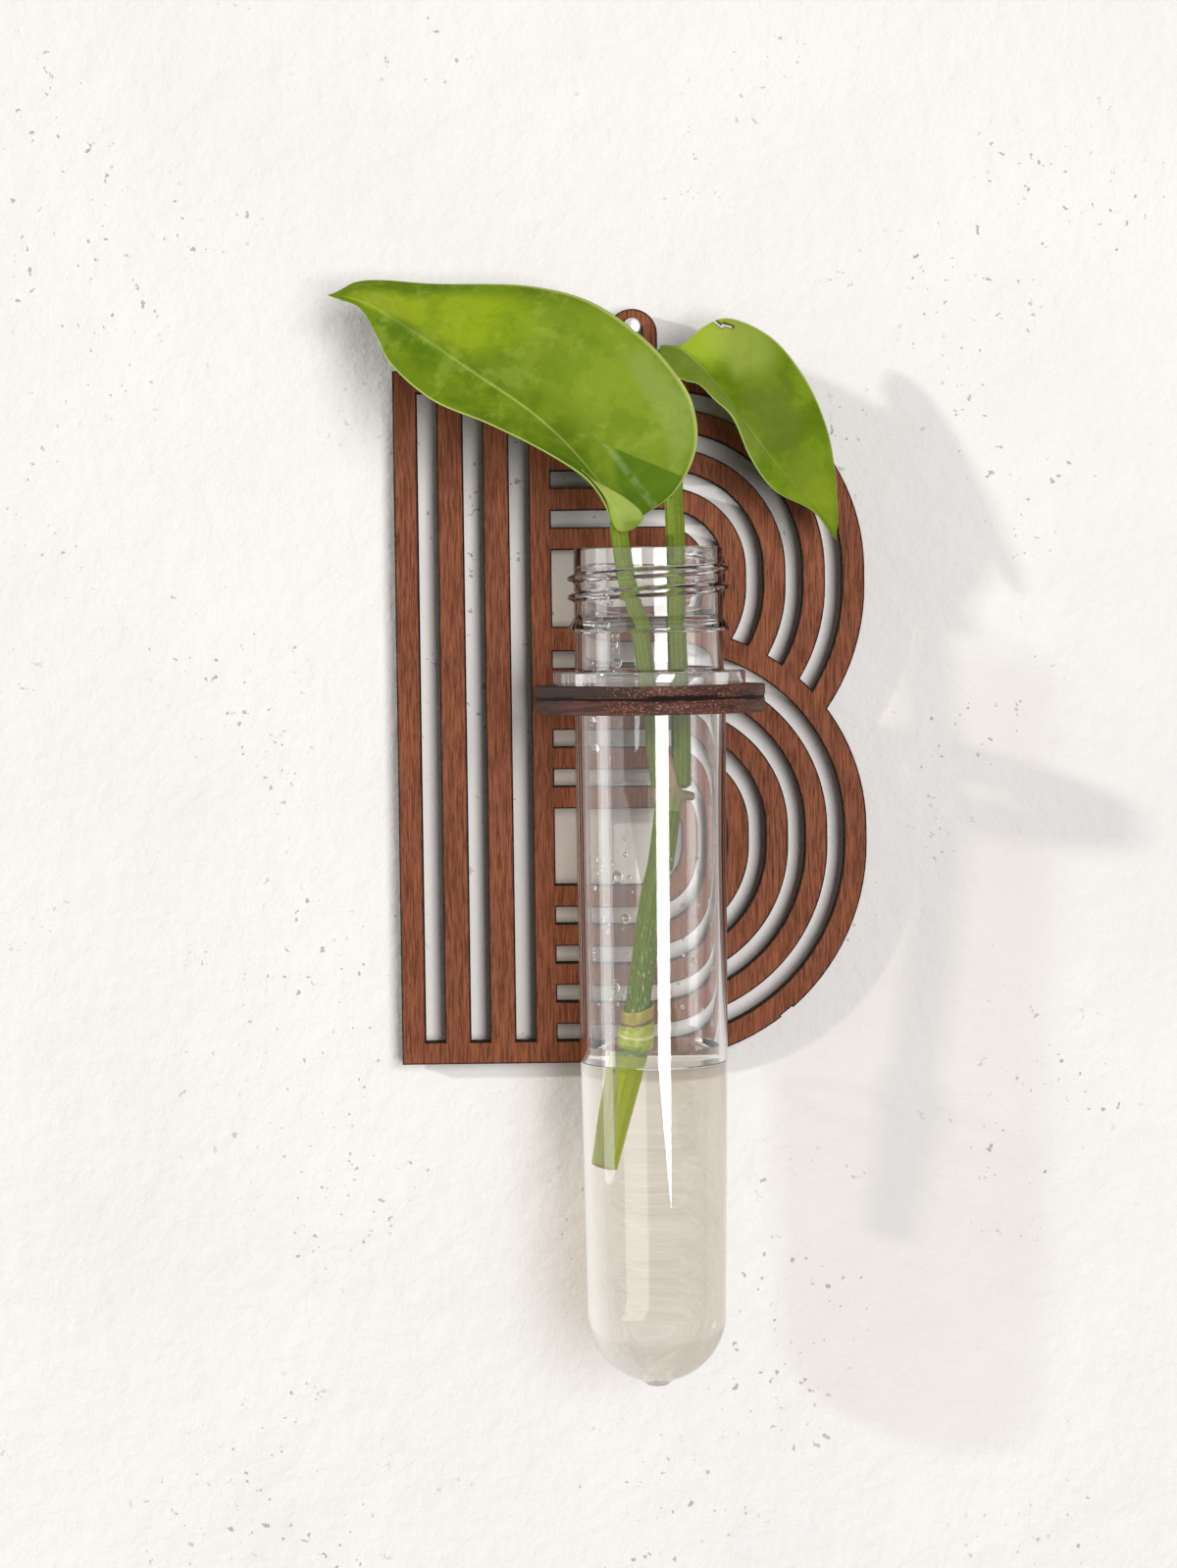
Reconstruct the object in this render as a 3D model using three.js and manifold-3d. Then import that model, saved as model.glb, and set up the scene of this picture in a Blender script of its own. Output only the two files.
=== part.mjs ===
// Wall-hung propagation station. A letter panel of stained plywood hangs on a pin, a ring
// bracket tenoned through the panel carries a screw-neck test tube by its flange, and a
// two-leaved cutting stands in the tube's water.
// Millimetres, +Z up. Y = 0 is the wall, and the panel's front faces -Y.
// The origin is the centre of the hanging hole, on the wall.

import * as THREE from 'three';
import { mergeVertices } from 'three/addons/utils/BufferGeometryUtils.js';
import Module from 'manifold-3d';

const wasm = await Module();
wasm.setup();

// Driving dimensions: the panel
const panelThickness = 3;
const holeRadius = 1.8;
const earRadius = 4.45;
const earDrop = 0.4;
const holeAboveTop = 6.4;
const holeFromLeft = 42.6;
const frameBar = 4;
const edgeBar = 4.2;
const uprightSlots = 3;
const uprightSlotWidth = 3.5;
const uprightBar = 4.6;
const lastUprightBar = 3.9;
const counterRadius = 6.8;
const bowlBar = 4;
const bowlSlots = 4;
const bowlSlotWidth = 3;
const bowlRun = 16.8;
const bowlSpacing = 46;
const bowlShoulder = 3;
const tabScarWidth = 2.6;
const tabScarDepth = 0.3;
const tabScarAngle = -0.892;

// Driving dimensions: the bracket, whose tenon passes through one slot of the lower bowl
const bracketThickness = 4.7;
const bracketSlot = 2;
const bracketRise = 0.5;
const ringStandoff = 24;
const ringWidth = 6.5;
const shoulderWidth = 16;
const tenonWidth = 10.6;
const tenonClearance = 0.15;
const tenonSetBack = 0.3;
const padMargin = 2.4;

// Driving dimensions: the pin
const pinRadius = 0.9;
const pinHeadRadius = 1.5;
const pinHeadThickness = 0.8;
const pinStandoff = 1.6;
const pinInWall = 15;
const pinClearance = 0.1;

// Driving dimensions: the tube, measured from the seat where its flange rests on the ring
const tubeClearance = 0.3;
const bodyRadius = 13.05;
const waistRadius = 12.75;
const waistBelowSeat = 62;
const footRadius = 12.05;
const tubeWall = 1.4;
const tubeBelowSeat = 120.8;
const rimAboveSeat = 23.5;
const neckRadius = 12.8;
const flangeRadius = 16.5;
const flangeThickness = 2.35;
const beadRadius = 14;
const beadBelowRim = 14.3;
const beadLip = 0.5;
const beadCone = 1.9;
const threadRadius = 13.9;
const threadPitch = 3.18;
const threadTurns = 1.75;
const threadBelowRim = 3.07;
const threadStart = 1.1126;
const threadBase = 2;
const threadCrest = 0.8;
const threadRoot = 0.6;
const threadLeadIn = 0.2;
const edgeRound = 0.3;
const gateRadius = 2;
const gateHeight = 0.7;

// Driving dimensions: the water and the cutting
const waterDepth = 54.1;
const meniscusRise = 1.5;
const fitGap = 0.3;
const stemRadius = 2.25;
const upperStemRadius = 2.1;
const collarRadius = 3.1;
const collarLength = 8;
const collarBelowSeat = 59;
const sheathRadius = 2.8;
const sheathLength = 3.6;
const leftPetioleRadius = 1.5;
const rightPetioleRadius = 1.65;
const petioleSpacing = 3.7;
const forkGap = 0.9;
const stubRadius = 0.95;
const stubTipRadius = 0.35;
const stubLength = 5.2;
const stubBelowFork = 1;
const stemWallGap = 2.1;
const leafThickness = 0.8;

// Places worked out from the driving dimensions
const panelLeft = -holeFromLeft;
const panelTop = -holeAboveTop;
const slotLeft = panelLeft + edgeBar + uprightSlots * (uprightSlotWidth + uprightBar)
  - uprightBar + lastUprightBar;
const bowlX = slotLeft + bowlRun;
const bowlRadius = counterRadius + bowlSlots * (bowlBar + bowlSlotWidth) + bowlBar;
const upperBowlZ = panelTop - bowlRadius;
const lowerBowlZ = upperBowlZ - bowlSpacing;
const panelBottom = lowerBowlZ - bowlRadius;
const panelFront = -panelThickness;

const tenonSlotInner = counterRadius + bowlBar + bracketSlot * (bowlSlotWidth + bowlBar);
const bracketMidZ = lowerBowlZ + tenonSlotInner + bowlSlotWidth / 2 + bracketRise;
const seatZ = bracketMidZ + bracketThickness / 2;
const rimZ = seatZ + rimAboveSeat;
const axisY = -ringStandoff;
const ringInner = bodyRadius + tubeClearance;
const ringOuter = ringInner + ringWidth;

const boreRadius = bodyRadius - tubeWall;
const waistBore = waistRadius - tubeWall;
const footBore = footRadius - tubeWall;
const waistZ = seatZ - waistBelowSeat;
const tubeBottom = seatZ - tubeBelowSeat;
const domeZ = tubeBottom + footRadius;
const innerBottom = tubeBottom + tubeWall;
const waterZ = innerBottom + waterDepth;

// A closed solid from a three.js geometry: welded, with the empty triangles at poles left out.
function solid(geometry) {
  const bare = geometry.clone();
  bare.deleteAttribute('normal');
  bare.deleteAttribute('uv');
  const welded = mergeVertices(bare, 1e-5);
  const corners = welded.index.array;
  const triangles = [];
  for (let i = 0; i < corners.length; i += 3) {
    const [a, b, c] = [corners[i], corners[i + 1], corners[i + 2]];
    if (a !== b && b !== c && c !== a) triangles.push(a, b, c);
  }
  return new wasm.Manifold(new wasm.Mesh({
    numProp: 3,
    vertProperties: new Float32Array(welded.attributes.position.array),
    triVerts: new Uint32Array(triangles),
  }));
}

// A named mesh from a solid, with its own material.
function piece(name, shape, colour, roughness, metalness = 0, opacity = 1) {
  const mesh = shape.getMesh();
  const geometry = new THREE.BufferGeometry();
  geometry.setAttribute('position', new THREE.BufferAttribute(mesh.vertProperties, 3));
  geometry.setIndex(new THREE.BufferAttribute(mesh.triVerts, 1));
  geometry.computeVertexNormals();
  const material = new THREE.MeshStandardMaterial({
    color: colour, roughness, metalness, opacity, transparent: opacity < 1,
  });
  const result = new THREE.Mesh(geometry, material);
  result.name = name;
  return result;
}

// A plate drawn in X and Z, standing upright between the wall side y0 and the front y1.
function uprightPlate(shape, y0, y1) {
  const plate = new THREE.ExtrudeGeometry(shape, {
    depth: y0 - y1, bevelEnabled: false, curveSegments: 9,
  });
  plate.rotateX(Math.PI / 2);
  plate.translate(0, y0, 0);
  return solid(plate);
}

function rectangle(x0, z0, x1, z1) {
  const shape = new THREE.Shape();
  shape.moveTo(x0, z0);
  shape.lineTo(x1, z0);
  shape.lineTo(x1, z1);
  shape.lineTo(x0, z1);
  return shape;
}

// A bowl's outline: straight runs from the left, a true quarter circle below, and above it a
// quarter circle that is pushed out along both axes by the shoulder.
function bowlOutline(left, centreZ, radius) {
  const shape = new THREE.Shape();
  shape.moveTo(left, centreZ - radius);
  shape.lineTo(bowlX, centreZ - radius);
  shape.absarc(bowlX, centreZ, radius, -Math.PI / 2, 0);
  shape.absarc(bowlX + bowlShoulder, centreZ + bowlShoulder, radius - bowlShoulder, 0, Math.PI / 2);
  shape.lineTo(left, centreZ + radius);
  return shape;
}

// Cutters are deeper than the panel, so that they pass through both of its faces.
const cutterDepth = panelThickness + 2;

function cutter(shape) {
  return uprightPlate(shape, (cutterDepth - panelThickness) / 2, -(cutterDepth + panelThickness) / 2);
}

// The counter and the slots round one bowl, as one cutter.
function bowlCutter(centreZ) {
  let slots = cutter(bowlOutline(slotLeft, centreZ, counterRadius));
  for (let i = 0; i < bowlSlots; i += 1) {
    const inner = counterRadius + bowlBar + i * (bowlSlotWidth + bowlBar);
    const outside = cutter(bowlOutline(slotLeft, centreZ, inner + bowlSlotWidth));
    const inside = cutter(bowlOutline(slotLeft - bowlBar, centreZ, inner));
    slots = slots.add(outside.subtract(inside));
  }
  return slots;
}

function uprightCutter() {
  let slots = null;
  for (let i = 0; i < uprightSlots; i += 1) {
    const left = panelLeft + edgeBar + i * (uprightSlotWidth + uprightBar);
    const slot = cutter(rectangle(left, panelBottom + frameBar, left + uprightSlotWidth, panelTop - frameBar));
    slots = slots ? slots.add(slot) : slot;
  }
  return slots;
}

// The ear: a round end about the hanging hole, with straight sides down into the top bar.
function earPlate() {
  const shape = new THREE.Shape();
  shape.moveTo(-earRadius, panelTop - frameBar / 2);
  shape.lineTo(earRadius, panelTop - frameBar / 2);
  shape.absarc(0, -earDrop, earRadius, 0, Math.PI);
  const hole = new THREE.Path();
  hole.absarc(0, 0, holeRadius, 0, 2 * Math.PI, true);
  shape.holes.push(hole);
  return uprightPlate(shape, 0, panelFront);
}

// The flat left on the lower bowl where the panel was broken out of its sheet.
function tabScar() {
  const chord = new THREE.BoxGeometry(tabScarDepth * 2, cutterDepth, tabScarWidth);
  chord.translate(bowlRadius, 0, 0);
  chord.rotateY(-tabScarAngle);
  chord.translate(bowlX, -panelThickness / 2, lowerBowlZ);
  return solid(chord);
}

function letterPanel() {
  const stem = uprightPlate(rectangle(panelLeft, panelBottom, slotLeft, panelTop), 0, panelFront);
  const stemInner = slotLeft - lastUprightBar / 2;
  const upper = uprightPlate(bowlOutline(stemInner, upperBowlZ, bowlRadius), 0, panelFront);
  const lower = uprightPlate(bowlOutline(stemInner, lowerBowlZ, bowlRadius), 0, panelFront);
  const lowerCutter = cutter(bowlOutline(stemInner, lowerBowlZ, bowlRadius));

  const padHalf = tenonWidth / 2 + padMargin;
  const pad = cutter(rectangle(bowlX - padHalf, bracketMidZ - bracketThickness,
    bowlX + padHalf, bracketMidZ + bracketThickness));
  const mortiseX = tenonWidth / 2 + tenonClearance;
  const mortiseZ = bracketThickness / 2 + tenonClearance;
  const mortise = cutter(rectangle(bowlX - mortiseX, bracketMidZ - mortiseZ,
    bowlX + mortiseX, bracketMidZ + mortiseZ));

  return stem.add(upper).add(lower).add(earPlate())
    .subtract(uprightCutter())
    .subtract(bowlCutter(upperBowlZ).subtract(lowerCutter))
    .subtract(bowlCutter(lowerBowlZ).subtract(pad))
    .subtract(mortise)
    .subtract(tabScar());
}

// The bracket lies flat: a ring, a shoulder that bears on the panel and a tenon through it.
function tubeBracket() {
  const halfShoulder = shoulderWidth / 2;
  const halfTenon = tenonWidth / 2;
  const turn = Math.acos(halfShoulder / ringOuter);
  const shape = new THREE.Shape();
  shape.moveTo(bowlX + halfShoulder, panelFront);
  shape.lineTo(bowlX + halfTenon, panelFront);
  shape.lineTo(bowlX + halfTenon, -tenonSetBack);
  shape.lineTo(bowlX - halfTenon, -tenonSetBack);
  shape.lineTo(bowlX - halfTenon, panelFront);
  shape.lineTo(bowlX - halfShoulder, panelFront);
  shape.absarc(bowlX, axisY, ringOuter, Math.PI - turn, 2 * Math.PI + turn);
  const hole = new THREE.Path();
  hole.absarc(bowlX, axisY, ringInner, 0, 2 * Math.PI, true);
  shape.holes.push(hole);
  const plate = new THREE.ExtrudeGeometry(shape, {
    depth: bracketThickness, bevelEnabled: false, curveSegments: 30,
  });
  plate.translate(0, 0, seatZ - bracketThickness);
  return solid(plate);
}

// A solid of revolution about an upright axis, from profile points of radius and height.
function turned(profile, segments) {
  const points = profile.map(([radius, height]) => new THREE.Vector2(radius, height));
  const lathe = new THREE.LatheGeometry(points, segments);
  lathe.rotateX(Math.PI / 2);
  return lathe;
}

// Points of a quarter circle of a profile, about a centre on the axis, from angle a to angle b.
function quarter(radius, centreZ, a, b, steps) {
  const points = [];
  for (let i = 0; i <= steps; i += 1) {
    const angle = a + (b - a) * i / steps;
    points.push([radius * Math.cos(angle), centreZ + radius * Math.sin(angle)]);
  }
  return points;
}

// The pin in the wall, which the top of the hanging hole rests on.
const pinZ = holeRadius - pinRadius - pinClearance;

function wallPin() {
  const headBack = panelThickness + pinStandoff;
  const headFront = headBack + pinHeadThickness;
  const pin = turned([
    [0, -pinInWall],
    [pinRadius, -pinInWall + 2 * pinRadius],
    [pinRadius, headBack],
    [pinHeadRadius, headBack],
    [pinHeadRadius, headFront - pinHeadThickness / 2],
    [pinHeadRadius * 0.7, headFront],
    [0, headFront],
  ], 20);
  pin.rotateX(Math.PI / 2);
  pin.translate(0, 0, pinZ);
  return solid(pin);
}

// The screw thread's centre line: a right-hand helix that starts near the rim, behind.
class ThreadHelix extends THREE.Curve {
  getPoint(t, target = new THREE.Vector3()) {
    const turn = 2 * Math.PI * threadTurns * t;
    const angle = threadStart - turn;
    const radius = (neckRadius + threadRadius - threadRoot) / 2;
    const drop = threadBelowRim + threadPitch * threadTurns * t;
    return target.set(radius * Math.cos(angle), radius * Math.sin(angle), rimZ - drop);
  }
}

// The thread's ridge, made as a straight bar whose sections are then placed round the neck.
function threadRidge() {
  const steps = Math.round(24 * threadTurns);
  const bar = new THREE.BoxGeometry(1, 1, 1, 1, steps, 1);
  const helix = new ThreadHelix();
  const place = bar.attributes.position;
  const inner = neckRadius - threadRoot;
  for (let i = 0; i < place.count; i += 1) {
    const t = 0.5 - place.getY(i);
    const centre = helix.getPoint(t);
    const angle = Math.atan2(centre.y, centre.x);
    const rise = Math.min(1, threadLeadIn + 8 * t, threadLeadIn + 8 * (1 - t));
    const crest = place.getX(i) > 0;
    const radius = crest ? inner + (threadRadius - inner) * rise : inner;
    const half = (crest ? threadCrest : threadBase) / 2;
    place.setXYZ(i, radius * Math.cos(angle), radius * Math.sin(angle),
      centre.z + Math.sign(place.getZ(i)) * half);
  }
  return solid(bar);
}

function testTube() {
  const beadTop = rimZ - beadBelowRim + beadLip;
  const inside = quarter(footBore, innerBottom + footBore, 0, -Math.PI / 2, 8);
  const outside = quarter(footRadius, domeZ, -Math.PI / 2, 0, 9);
  const wall = outside.filter(([radius]) => radius > gateRadius);
  const gateZ = tubeBottom - gateHeight;
  const shell = turned([
    ...inside.reverse(),
    [waistBore, waistZ],
    [boreRadius, seatZ],
    [boreRadius, rimZ - edgeRound],
    [boreRadius + edgeRound, rimZ],
    [neckRadius - edgeRound, rimZ],
    [neckRadius, rimZ - edgeRound],
    [neckRadius, beadTop + beadCone],
    [beadRadius, beadTop],
    [beadRadius, beadTop - beadLip],
    [neckRadius, beadTop - beadLip],
    [neckRadius, seatZ + flangeThickness],
    [flangeRadius - edgeRound, seatZ + flangeThickness],
    [flangeRadius, seatZ + flangeThickness - edgeRound],
    [flangeRadius, seatZ],
    [bodyRadius, seatZ],
    [waistRadius, waistZ],
    ...wall.reverse(),
    [gateRadius, tubeBottom],
    [gateRadius * 0.8, gateZ],
    [0, gateZ],
  ].reverse(), 48);
  return solid(shell).add(threadRidge()).translate([bowlX, axisY, 0]);
}

// A point of the cutting, from the tube's axis and either its seat or its rim.
function fromSeat(x, y, z) {
  return new THREE.Vector3(bowlX + x, axisY + y, seatZ + z);
}

function fromRim(x, y, z) {
  return new THREE.Vector3(bowlX + x, axisY + y, rimZ + z);
}

// A stretch of a longer curve between two lengths along it.
class Stretch extends THREE.Curve {
  constructor(whole, from, to) {
    super();
    this.whole = whole;
    this.from = from / whole.getLength();
    this.to = to / whole.getLength();
  }

  getPoint(t, target = new THREE.Vector3()) {
    return this.whole.getPointAt(this.from + (this.to - this.from) * t, target);
  }
}

// A round stalk of one thickness along a curve.
function stalk(curve, radius, steps, sides = 10) {
  const section = new THREE.Shape();
  for (let i = 0; i < sides; i += 1) {
    const angle = 2 * Math.PI * i / sides;
    const [x, y] = [radius * Math.cos(angle), radius * Math.sin(angle)];
    if (i === 0) section.moveTo(x, y);
    else section.lineTo(x, y);
  }
  return solid(new THREE.ExtrudeGeometry(section, { steps, extrudePath: curve, bevelEnabled: false }));
}

// The stem runs from the slanted cut end, close to the tube's wall, up to the fork.
const cutEndX = -(footBore - stemRadius - stemWallGap);
const cutEndZ = -83;
const stemRoute = new THREE.CatmullRomCurve3([
  fromSeat(cutEndX, -2, cutEndZ),
  fromSeat((cutEndX - 3.3) / 2, -2, -73),
  fromSeat(-3.3, -2, -62.7),
  fromSeat(-2.6, -2, -54.3),
  fromSeat(-1.5, -2, -47),
  fromSeat(0, -2, -37),
  fromSeat(1.5, -1.7, -30.6),
  fromSeat(2.5, -1.3, -24),
  fromSeat(3.4, -1, -18),
]);

// Where the stem's parts meet, as lengths from the cut end.
const stemLength = stemRoute.getLength();
const collarMiddle = -cutEndZ - collarBelowSeat;
const collarStart = collarMiddle - collarLength / 2;
const collarEnd = collarMiddle + collarLength / 2;
const sheathStart = stemLength - sheathLength;

function stemPart(from, to, radius, steps) {
  return stalk(new Stretch(stemRoute, from, to), radius, steps);
}

// The sheath at the fork, with the stub of a shed leaf pointing right.
function forkSheath() {
  const stub = new THREE.CylinderGeometry(stubTipRadius, stubRadius, stubLength, 10);
  stub.rotateZ(-Math.PI / 2);
  const root = stemRoute.getPointAt(1 - stubBelowFork / stemLength);
  stub.translate(root.x + stubLength / 2, root.y, root.z);
  return stemPart(sheathStart + fitGap, stemLength, sheathRadius, 2).add(solid(stub));
}

// Both petioles start side by side on the sheath's end and leave through the tube's mouth.
const fork = stemRoute.getPointAt(1).add(new THREE.Vector3(0, 0, forkGap));
const leftPetiole = new THREE.CatmullRomCurve3([
  fork.clone().add(new THREE.Vector3(-petioleSpacing / 2, 0, 0)),
  fromSeat(0.8, -1.3, -10.5),
  fromSeat(0.5, -1.5, -5.3),
  fromSeat(-0.7, -2, 3),
  fromSeat(-1.8, -2.7, 10),
  fromRim(-3.5, -3.5, -7),
  fromRim(-4.4, -4.4, -1.7),
  fromRim(-4.9, -5.4, 2.6),
]);
const rightPetiole = new THREE.CatmullRomCurve3([
  fork.clone().add(new THREE.Vector3(petioleSpacing / 2, 0, 0)),
  fromSeat(5.2, -1, -3.7),
  fromRim(4.7, -0.5, -13.7),
  fromRim(4.8, 0.5, -0.3),
  fromRim(4.6, 2, 8.2),
  fromRim(4.3, 4, 18.4),
  fromRim(3.4, 5.5, 26.9),
  fromRim(2, 6, 32.9),
]);

// A leaf blade spread between a midrib and two margins, all drawn from its base to its tip.
// Lines run straight from the midrib to each margin, and the blade is thickened along its
// normal.
class Blade {
  constructor(midrib, upperMargin, lowerMargin) {
    this.midrib = new THREE.CatmullRomCurve3(midrib);
    this.upper = new THREE.CatmullRomCurve3(upperMargin);
    this.lower = new THREE.CatmullRomCurve3(lowerMargin);
  }

  point(u, v) {
    const along = THREE.MathUtils.clamp(u, 0, 1);
    const margin = v > 0 ? this.upper : this.lower;
    return this.midrib.getPointAt(along).lerp(margin.getPointAt(along), Math.abs(v));
  }

  normal(u, v) {
    const step = 0.02;
    const alongStep = this.point(Math.min(u + step, 1), v).sub(this.point(Math.max(u - step, 0), v));
    const acrossStep = this.point(u, Math.min(v + step, 1)).sub(this.point(u, Math.max(v - step, -1)));
    return alongStep.cross(acrossStep).normalize();
  }

  solid(lengthSteps, widthSteps) {
    const box = new THREE.BoxGeometry(1, 1, 1, lengthSteps, widthSteps, 1);
    const place = box.attributes.position;
    for (let i = 0; i < place.count; i += 1) {
      const [u, v] = [place.getX(i) + 0.5, place.getY(i) * 2];
      const lift = place.getZ(i) * leafThickness;
      const spot = this.point(u, v).addScaledVector(this.normal(u, v), lift);
      place.setXYZ(i, spot.x, spot.y, spot.z);
    }
    return solid(box);
  }
}

// The big leaf hangs over to the left, in front of the panel's top.
const leftBlade = new Blade([
  fromRim(-4.9, -6.4, 3.6),
  fromRim(-7.2, -7.1, 8.9),
  fromRim(-11.7, -7.6, 15),
  fromRim(-19, -7, 22.2),
  fromRim(-29.8, -4.5, 30),
  fromRim(-40.8, 1, 38),
  fromRim(-48.6, 6, 43),
  fromRim(-54.7, 9, 44.6),
], [
  fromRim(-3.6, -6.2, 3.4),
  fromRim(-0.9, -5.6, 5.2),
  fromRim(4.9, -5.2, 9.6),
  fromRim(8.4, -4.7, 17),
  fromRim(7.7, -3.6, 24.6),
  fromRim(3.6, -2, 31.4),
  fromRim(-1.3, 0, 36.6),
  fromRim(-9.6, 4, 42.6),
  fromRim(-19.8, 7, 45.6),
  fromRim(-36.8, 10, 46.4),
  fromRim(-48.8, 11, 47.1),
  fromRim(-54.4, 9.4, 45.4),
], [
  fromRim(-6.3, -7.4, 4.2),
  fromRim(-7.6, -8.6, 7.6),
  fromRim(-10.3, -9.6, 11.3),
  fromRim(-16.6, -10, 15.7),
  fromRim(-26.5, -9, 20.9),
  fromRim(-36.4, -6, 25.3),
  fromRim(-43.8, -1, 32.1),
  fromRim(-45.9, 2, 36.5),
  fromRim(-49.4, 6, 42.2),
  fromRim(-54.6, 8.4, 44.1),
]);

// The small leaf stands behind it and hangs to the right, folded along its midrib.
const rightBlade = new Blade([
  fromRim(2.6, 5.2, 34.6),
  fromRim(5.5, 4, 34.3),
  fromRim(8.1, 3.5, 32.4),
  fromRim(11.3, 3, 29),
  fromRim(16.6, 2.5, 21.5),
  fromRim(20.9, 3, 15.9),
  fromRim(25, 4, 10.8),
  fromRim(30.3, 6, 5.1),
  fromRim(32.8, 7.5, 1.2),
], [
  fromRim(3, 6.2, 35),
  fromRim(6.4, 5.4, 34.6),
  fromRim(8.1, 6.3, 36.1),
  fromRim(9.9, 7.6, 37.9),
  fromRim(14.2, 9.3, 39.8),
  fromRim(21.9, 11, 36.7),
  fromRim(27.8, 11.5, 29.5),
  fromRim(31.7, 11, 20.1),
  fromRim(33.2, 10, 9.8),
  fromRim(33.3, 8.1, 1.8),
], [
  fromRim(2.4, 4.2, 33.5),
  fromRim(3.7, 2, 30.3),
  fromRim(6.5, 1, 28.6),
  fromRim(9, 0.5, 27.8),
  fromRim(11.6, 0, 25.1),
  fromRim(14.5, 0, 22.2),
  fromRim(17.8, 0.5, 15),
  fromRim(22, 2, 9.6),
  fromRim(28.9, 5, 5.9),
  fromRim(32.2, 7, 1.4),
]);

// The water fills the tube to its level, climbs a little at the wall, and leaves a gap of the
// fit round the tube and the stem.
function water() {
  const bottom = quarter(footBore - fitGap, innerBottom + footBore, -Math.PI / 2, 0, 8);
  const top = waistBore - fitGap;
  const body = turned([
    ...bottom,
    [top, waterZ + meniscusRise],
    [top - meniscusRise / 2, waterZ + meniscusRise / 3],
    [top - meniscusRise * 1.5, waterZ],
    [0, waterZ],
  ], 32);
  const wetRoute = new Stretch(stemRoute, 0, collarStart).getPoints(6);
  const belowEnd = stemRoute.getTangentAt(0).multiplyScalar(-fitGap).add(wetRoute[0]);
  const hole = stalk(new THREE.CatmullRomCurve3([belowEnd, ...wetRoute]), stemRadius + fitGap, 12);
  // A deeper fill also reaches the collar and the stem above it, so they are cut out too.
  return solid(body).translate([bowlX, axisY, 0])
    .subtract(hole)
    .subtract(stemPart(collarStart - fitGap, collarEnd, collarRadius + fitGap, 3))
    .subtract(stemPart(collarEnd - fitGap, sheathStart, upperStemRadius + fitGap, 8));
}

const group = new THREE.Group();
group.add(
  piece('wall_pin', wallPin(), 0xd9dadb, 0.3, 0.9),
  piece('letter_panel', letterPanel(), 0x6b3826, 0.6),
  piece('tube_bracket', tubeBracket(), 0x5a2f25, 0.6),
  piece('test_tube', testTube(), 0xeef2f0, 0.05, 0, 0.35),
  piece('water', water(), 0xdfe4d6, 0.02, 0, 0.5),
  piece('stem_lower', stemPart(0, collarStart - fitGap, stemRadius, 8), 0x6d9a1f, 0.5),
  piece('stem_node_collar', stemPart(collarStart, collarEnd - fitGap, collarRadius, 3), 0x9db32c, 0.5),
  piece('stem_upper', stemPart(collarEnd, sheathStart, upperStemRadius, 14), 0x4f8a35, 0.5),
  piece('fork_sheath', forkSheath(), 0x8d8f4e, 0.6),
  piece('left_petiole', stalk(leftPetiole, leftPetioleRadius, 18), 0x6f9440, 0.5),
  piece('right_petiole', stalk(rightPetiole, rightPetioleRadius, 22), 0x6d9449, 0.5),
  piece('left_leaf', leftBlade.solid(20, 8), 0x5f9a1c, 0.4),
  piece('right_leaf', rightBlade.solid(18, 8), 0x76a91f, 0.4),
);

export default group;
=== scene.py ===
# %% [markdown]
# # A wall-hung propagation station
#
# A letter of stained plywood hangs on one pin. A plywood ring stands out from it and carries a
# clear screw-neck tube, and a cutting with two leaves drinks from the tube. This file dresses
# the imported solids: each piece is built again in the same place, with the finer form and the
# finish that the solids can't hold.

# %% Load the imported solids
import math
import random

import bmesh
import bpy
import numpy as np
from mathutils import Matrix, Quaternion, Vector
from mathutils.geometry import delaunay_2d_cdt


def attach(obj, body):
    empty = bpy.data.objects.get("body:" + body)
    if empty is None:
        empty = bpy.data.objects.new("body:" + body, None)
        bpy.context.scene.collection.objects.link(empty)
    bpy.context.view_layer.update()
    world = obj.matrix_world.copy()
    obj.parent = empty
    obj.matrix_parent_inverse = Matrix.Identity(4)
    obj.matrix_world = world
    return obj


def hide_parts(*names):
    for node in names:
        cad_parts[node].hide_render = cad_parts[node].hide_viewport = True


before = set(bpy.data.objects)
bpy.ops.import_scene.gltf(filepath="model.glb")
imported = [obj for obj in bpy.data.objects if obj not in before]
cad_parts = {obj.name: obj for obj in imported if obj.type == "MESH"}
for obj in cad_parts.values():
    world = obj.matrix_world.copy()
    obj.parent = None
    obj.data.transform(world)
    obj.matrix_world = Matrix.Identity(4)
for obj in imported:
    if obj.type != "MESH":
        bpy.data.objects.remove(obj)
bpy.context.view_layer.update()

# %% [markdown]
# ## Camera
#
# The photograph was taken from a little above the ring, about 0.6 m from the wall, tilted down
# by almost three degrees and rolled by less than one. The lens follows from the focal length in
# pixels, because Blender's 36 mm sensor lies along the picture's long side.

# %% Place the camera
MM = 0.001
focal_pixels = 3500
picture_height = 1599
sensor_size = 36
camera_place = Vector((-8.7, -614.1, -49.55)) * MM
camera_pitch = math.radians(2.86)
camera_roll = math.radians(0.735)


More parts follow.
